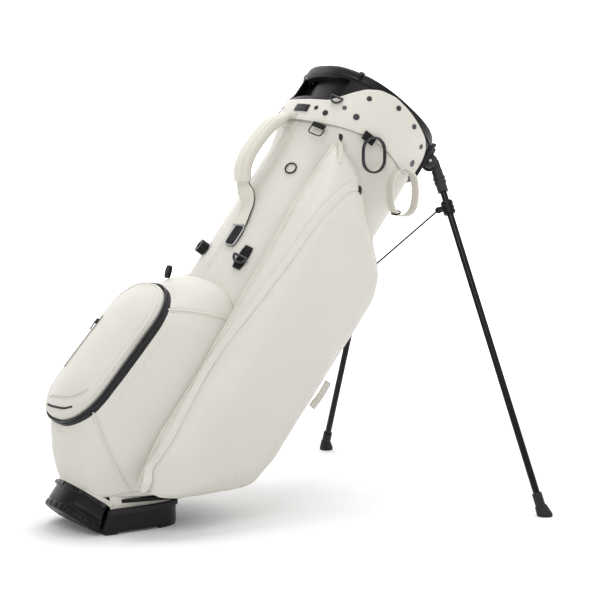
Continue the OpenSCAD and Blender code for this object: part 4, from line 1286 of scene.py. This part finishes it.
def zip_pull(node, body, name):
    """Metal slider with a stitched leather pull tab, thicker at its end."""
    points = to_bag(node_points(node))
    top = points[np.argmax(points[:, 2])]
    low = points[np.argmin(points[:, 2])]
    high_middle = points[points[:, 2] > top[2] - 8].mean(0)
    low_middle = points[points[:, 2] < low[2] + 8].mean(0)
    start, end = bag(*high_middle), bag(*low_middle)
    along = unit((end - start)[None])[0]
    out = unit((-V - along * (-V @ along))[None])[0]
    length = np.linalg.norm(end - start)
    shape = Shape()
    path = smooth_path([start + along * 0.009, start + along * length * 0.5 + out * 0.001, end], 0.002)
    count = len(path)
    taper = np.clip(0.72 + 0.28 * np.linspace(0, 1, count) * 1.6, 0, 1)
    shape.sweep(path, out, strap_profile(0.0088, 0.0021, 20, 4), taper=taper)
    for side in (-1, 1):
        shape.stitches(path + out * 0.001, out, side * 0.0030, pitch=0.003, radius=0.0004, mark=1)
    shape.sweep(path[-5:] + along * 0.0012, out, strap_profile(0.0094, 0.0027, 20, 4), mark=2)
    body_path = smooth_path([start - along * 0.004, start + along * 0.001, start + along * 0.006], 0.0015)
    shape.sweep(body_path, out, strap_profile(0.0078, 0.0042, 20, 3),
                taper=np.linspace(1.0, 0.82, len(body_path)), mark=3)
    bail = smooth_path([start + out * 0.002, start + out * 0.0052 + along * 0.003,
                        start + along * 0.0105], 0.001)
    shape.cord(bail, V, 0.0012, 8, mark=3)
    shape.build(name, body, [STRAP, THREAD, STRAP, GUNMETAL], "strap_leather", (node,))


def coin_pull():
    """Small metal pull of the coin zip."""
    points = node_points("coin_zip_slider")
    middle = points.mean(0)
    height = (points @ door_up).max() - (points @ door_up).min()
    top = middle + door_up * height * 0.4
    shape = Shape()
    path = smooth_path([top, top - door_up * 0.005, top - door_up * 0.010], 0.0012)
    shape.sweep(path, -door_back, strap_profile(0.0062, 0.0032, 20, 3))
    pull = smooth_path([top - door_up * 0.006 - door_back * 0.0016, top - door_up * height * 0.8], 0.002)
    shape.sweep(pull, -door_back, strap_profile(0.0042, 0.0015, 16, 4))
    shape.build("coin_zip_pull", "coin_zip_slider", [GUNMETAL], "dark_metal", ("coin_zip_slider",))


def curved_tab(shape, angle_deg, w, width, height, thick, mark=0, on_cover=False):
    """Webbing patch bent round the tube or the cuff cover."""
    a, b, x = TUBE_A + 0.4, TUBE_B + 0.4, TUBE_X
    if on_cover:
        a, b, x = CUFF_A + 4.3, CUFF_B + 4.3, CUFF_X
    middle = math.radians(angle_deg)
    spread = np.linspace(-1, 1, 9) * (width / 2 / a)
    u, v = ring(a + thick / 2, b + thick / 2, x, middle + spread)
    path = bag(u, v, w)
    normals = unit(path - bag(x, 0, w))
    shape.sweep(path, normals, strap_profile(height * MM, thick * MM, 20, 6), mark=mark)


def tube_place(angle_deg, w, lift, on_cover=False):
    """Point on the tube or the cuff cover, and its outward direction, at an angle round it."""
    angle = math.radians(angle_deg)
    a, b, x = (CUFF_A + 4.3, CUFF_B + 4.3, CUFF_X) if on_cover else (TUBE_A, TUBE_B, TUBE_X)
    u, v = ring(a + lift, b + lift, x, np.array([angle - 0.02, angle, angle + 0.02]))
    place = bag(u, v, w)
    out = unit(np.cross(place[2] - place[0], W)[None])[0]
    return place[1], out * np.sign(out @ (place[1] - bag(TUBE_X, 0, w)))


def flat_patch(shape, angle_deg, w, width, height, thick, mark=0, rim_mark=None):
    """Rounded rectangular patch laid on the tube, its height along the bag, with an optional rim."""
    place, out = tube_place(angle_deg, w, 1.0)
    path = place + np.outer(np.linspace(-0.5, 0.5, 7) * height * MM, W)
    ends = np.array([0.78, 0.94, 1, 1, 1, 0.94, 0.78])
    shape.sweep(path, out, strap_profile(width * MM, thick * MM, 24, 6), taper=ends, mark=mark)
    if rim_mark is None:
        return
    side = unit(np.cross(out, W)[None])[0]
    turn = np.arange(48) * FULL_TURN / 48
    rim = (place + out * thick * 0.4 * MM
           + np.outer(power(np.cos(turn), 0.4), side) * (width / 2 - 0.6) * MM
           + np.outer(power(np.sin(turn), 0.4), W) * (height / 2 - 0.4) * MM)
    shape.sweep(rim, out, round_profile(0.0011, 8), closed=True, mark=rim_mark)


def webbing():
    """Black tabs of the rings, and the buckle below the carry handle."""
    shape = Shape()
    flat_patch(shape, 194, 520, 25, 40, 3.6, rim_mark=1)
    flat_patch(shape, 216, 489, 18, 44, 3.0)
    curved_tab(shape, 213.5, 749, 27, 9, 2.4, on_cover=True)
    curved_tab(shape, 256, 775, 22, 16, 2.4, on_cover=True)
    shape.build("webbing_tabs", "bag", [WEBBING, STEEL], "black_webbing", ("hardware_straps",))


def wire_loop(angle_deg, w, lift, half_width, half_height, wire, squareness, on_cover=False):
    """Closed wire lying on the tube: a round ring, or a rounded rectangle with a squarer exponent."""
    place, out = tube_place(angle_deg, w, lift, on_cover)
    aside = unit(np.cross(out, W)[None])[0]
    turn = np.arange(56) * FULL_TURN / 56
    path = (place + np.outer(power(np.cos(turn), 2 / squareness), aside) * half_width * MM
            + np.outer(power(np.sin(turn), 2 / squareness), W) * half_height * MM)
    shape = Shape()
    shape.cord(path, out, wire * MM, 10, closed=True)
    return shape


def small_metalwork():
    """The collar's rectangular ring, the round eyelet and the blank plate on the cuff's front."""
    loop = wire_loop(214, 739, 0.5, 13.0, 7.5, 1.2, 4.5, on_cover=True)
    loop.build("collar_ring_loop", "collar_ring", [GUNMETAL], "dark_metal", ("collar_ring",))
    eye = wire_loop(207, 667, 0.9, 10.2, 9.6, 1.3, 2)
    eye.build("eyelet_ring", "bag", [BLACK], "black_plastic", ("eyelet",))
    plate = Shape()
    curved_tab(plate, 187, 775, 29, 14, 2.0, on_cover=True)
    plate.build("cuff_blank_plate", "bag", [BLACK], "dark_metal", ("cuff_plate",))


def small_tags():
    """The pocket's pull loop and the tag sewn into the back of the near pocket."""
    middle = sum(box_of("pocket_pull_loop")) / 2
    shape = Shape()
    rise = unit((W - 0.4 * U)[None])[0]
    across = np.cross(V, rise)
    turn = np.linspace(-0.45, 1.45, 36) * math.pi
    loop = middle + np.outer(np.cos(turn) * 0.0023, across) + np.outer(np.sin(turn) * 0.0105 - 0.001, rise)
    outwards = unit(np.outer(np.cos(turn), across) + np.outer(np.sin(turn) * 0.25, rise))
    shape.sweep(loop, outwards, strap_profile(0.015, 0.0018, 16, 4))
    shape.build("pull_loop_webbing", "bag", [WEBBING], "black_webbing", ("pocket_pull_loop",))
    points = to_bag(node_points("back_tab"))
    low, high = points.min(0), points.max(0)
    path = smooth_path([bag(low[0] - 1 + 3 * math.sin(k * 2.6), low[1] + 1.5, low[2] + (high[2] - low[2]) * k)
                        for k in np.linspace(0, 1, 7)], 0.003)
    shape = Shape()
    shape.sweep(path + U * 0.006, V, strap_profile(0.013, 0.0024, 20, 5))
    shape.sweep(path[:6] + U * 0.006, V, strap_profile(0.0135, 0.003, 20, 5), mark=2)
    for side in (-1, 1):
        shape.stitches(path + U * 0.006 - V * 0.0012, -V, side * 0.0045, mark=1)
    shape.build("pocket_tag", "bag", [STRAP, THREAD, STRAP], "strap_leather", ("back_tab",))


# ---------- hard CAD parts ----------

def dress_cad():
    """Gives every CAD node its finish, and the hard ones softened edges."""
    special = {"stand_bracket": GREY, "near_leg_arm": GREY, "far_leg_arm": GREY}
    for row in frame["record"]["subparts"]:
        node = frame["nodes"][row["node"]]
        material = special.get(row["node"], SLOT_MATERIALS[row["material_slot"]])
        node.data.materials.clear()
        node.data.materials.append(material)
        if row["material_slot"] in ("black_plastic", "dark_metal", "steel", "black_rubber"):
            soften(node, 0.0008, 45)


# ---------- stage ----------

VIEW_AZIMUTH = math.radians(-29.8)
VIEW_RISE = math.radians(5.3)
VIEW_DISTANCE = 2.95


def backdrop():
    """Pale floor that curves up into a wall."""
    profile = [(-6.0, 0.0), (0.0, 0.0), (3.0, 0.0)]
    profile += [(3.0 + 2.0 * math.sin(a), 2.0 - 2.0 * math.cos(a)) for a in np.linspace(0.1, math.pi / 2, 12)]
    profile += [(5.0, 8.0)]
    away = np.array([-math.sin(VIEW_AZIMUTH), math.cos(VIEW_AZIMUTH), 0])
    right = np.array([math.cos(VIEW_AZIMUTH), math.sin(VIEW_AZIMUTH), 0])
    grid = np.array([[away * d + right * x + np.array([0, 0, z]) for x in np.linspace(-9, 9, 7)]
                     for d, z in profile])
    t = Tree("pale_floor")
    tone = t.mix(t.noise(3.0, 2.0), (0.88, 0.88, 0.88), (0.86, 0.86, 0.86))
    far = t.add("VectorMath", {0: t.place}, operation="LENGTH").outputs["Value"]
    glow = t.add("MapRange", {"Value": far}, From_Min=0.9, From_Max=2.6, To_Min=0.05,
                 To_Max=1.0).outputs["Result"]
    floor = t.finish(Base_Color=tone, Roughness=0.9, Emission_Color=(1, 1, 1), Emission_Strength=glow)
    sheet = make("studio_backdrop", grid, grid_faces(len(profile), 7), [floor])


def area_light(name, place, target, size, watts):
    data = bpy.data.lights.new(name, "AREA")
    data.shape = "DISK"
    data.size = size
    data.energy = watts
    lamp = bpy.data.objects.new(name, data)
    lamp.location = place
    lamp.rotation_euler = (Vector(target) - Vector(place)).to_track_quat("-Z", "Y").to_euler()
    bpy.context.scene.collection.objects.link(lamp)


def lighting():
    """Soft key from the near side, light from above, a weak fill and a pale sky."""
    middle = (0.3, 0, 0.35)
    area_light("key", (-1.5, -2.05, 2.5), middle, 1.7, 36)
    area_light("fill", (2.8, -2.0, 1.6), middle, 2.4, 6)
    area_light("top", (0.7, 0.2, 3.0), middle, 1.6, 38)
    world = bpy.data.worlds.new("studio")
    world.use_nodes = True
    world.node_tree.nodes["Background"].inputs["Color"].default_value = (1, 1, 1, 1)
    world.node_tree.nodes["Background"].inputs["Strength"].default_value = 0.55
    bpy.context.scene.world = world
    bpy.context.scene.view_settings.view_transform = "Standard"


def camera():
    """Camera low in front and to the near side, aimed so that the bag sits as in the product picture."""
    target = np.array([0.3, 0, 0.4])
    level = math.cos(VIEW_RISE)
    back = np.array([math.sin(VIEW_AZIMUTH) * level, -math.cos(VIEW_AZIMUTH) * level, math.sin(VIEW_RISE)])
    right = np.array([math.cos(VIEW_AZIMUTH), math.sin(VIEW_AZIMUTH), 0])
    up = np.cross(back, right)
    aim_right, aim_down = 0.0332, 0.0147
    data = bpy.data.cameras.new("camera")
    data.lens = 103.4
    data.sensor_width = 36.0
    eye = bpy.data.objects.new("camera", data)
    eye.location = target + back * VIEW_DISTANCE
    view = -back + right * aim_right - up * aim_down
    eye.rotation_euler = Vector(view).to_track_quat("-Z", "Y").to_euler()
    bpy.context.scene.collection.objects.link(eye)
    bpy.context.scene.camera = eye


# ---------- build ----------

dress_cad()
body = tube_body()
tube_seams(surface(body))
near = pocket_skin()
far = mirrored(near, "far_pocket_skin")
settle(near, "bag", ("near_pocket",))
settle(far, "bag", ("far_pocket",))
pocket_trim(near, NEAR, "near_pocket_trim")
far_trim = pocket_trim(far, FAR, "far_pocket_trim")
draw_back(far)
draw_back(far_trim)
ball_pocket()
ball_door()
ball_zip()
base_shell()
base_trim()
base_gusset()
cuff_cover()
cuff_rim()
towel_ring()
carry_handle()
handle_anchors()
umbrella_loop()
zip_pull("front_zip_slider", "front_zip_slider", "front_zip_pull")
zip_pull("side_zip_slider", "side_zip_slider", "side_zip_pull")
coin_pull()
webbing()
small_metalwork()
small_tags()
backdrop()
lighting()
camera()
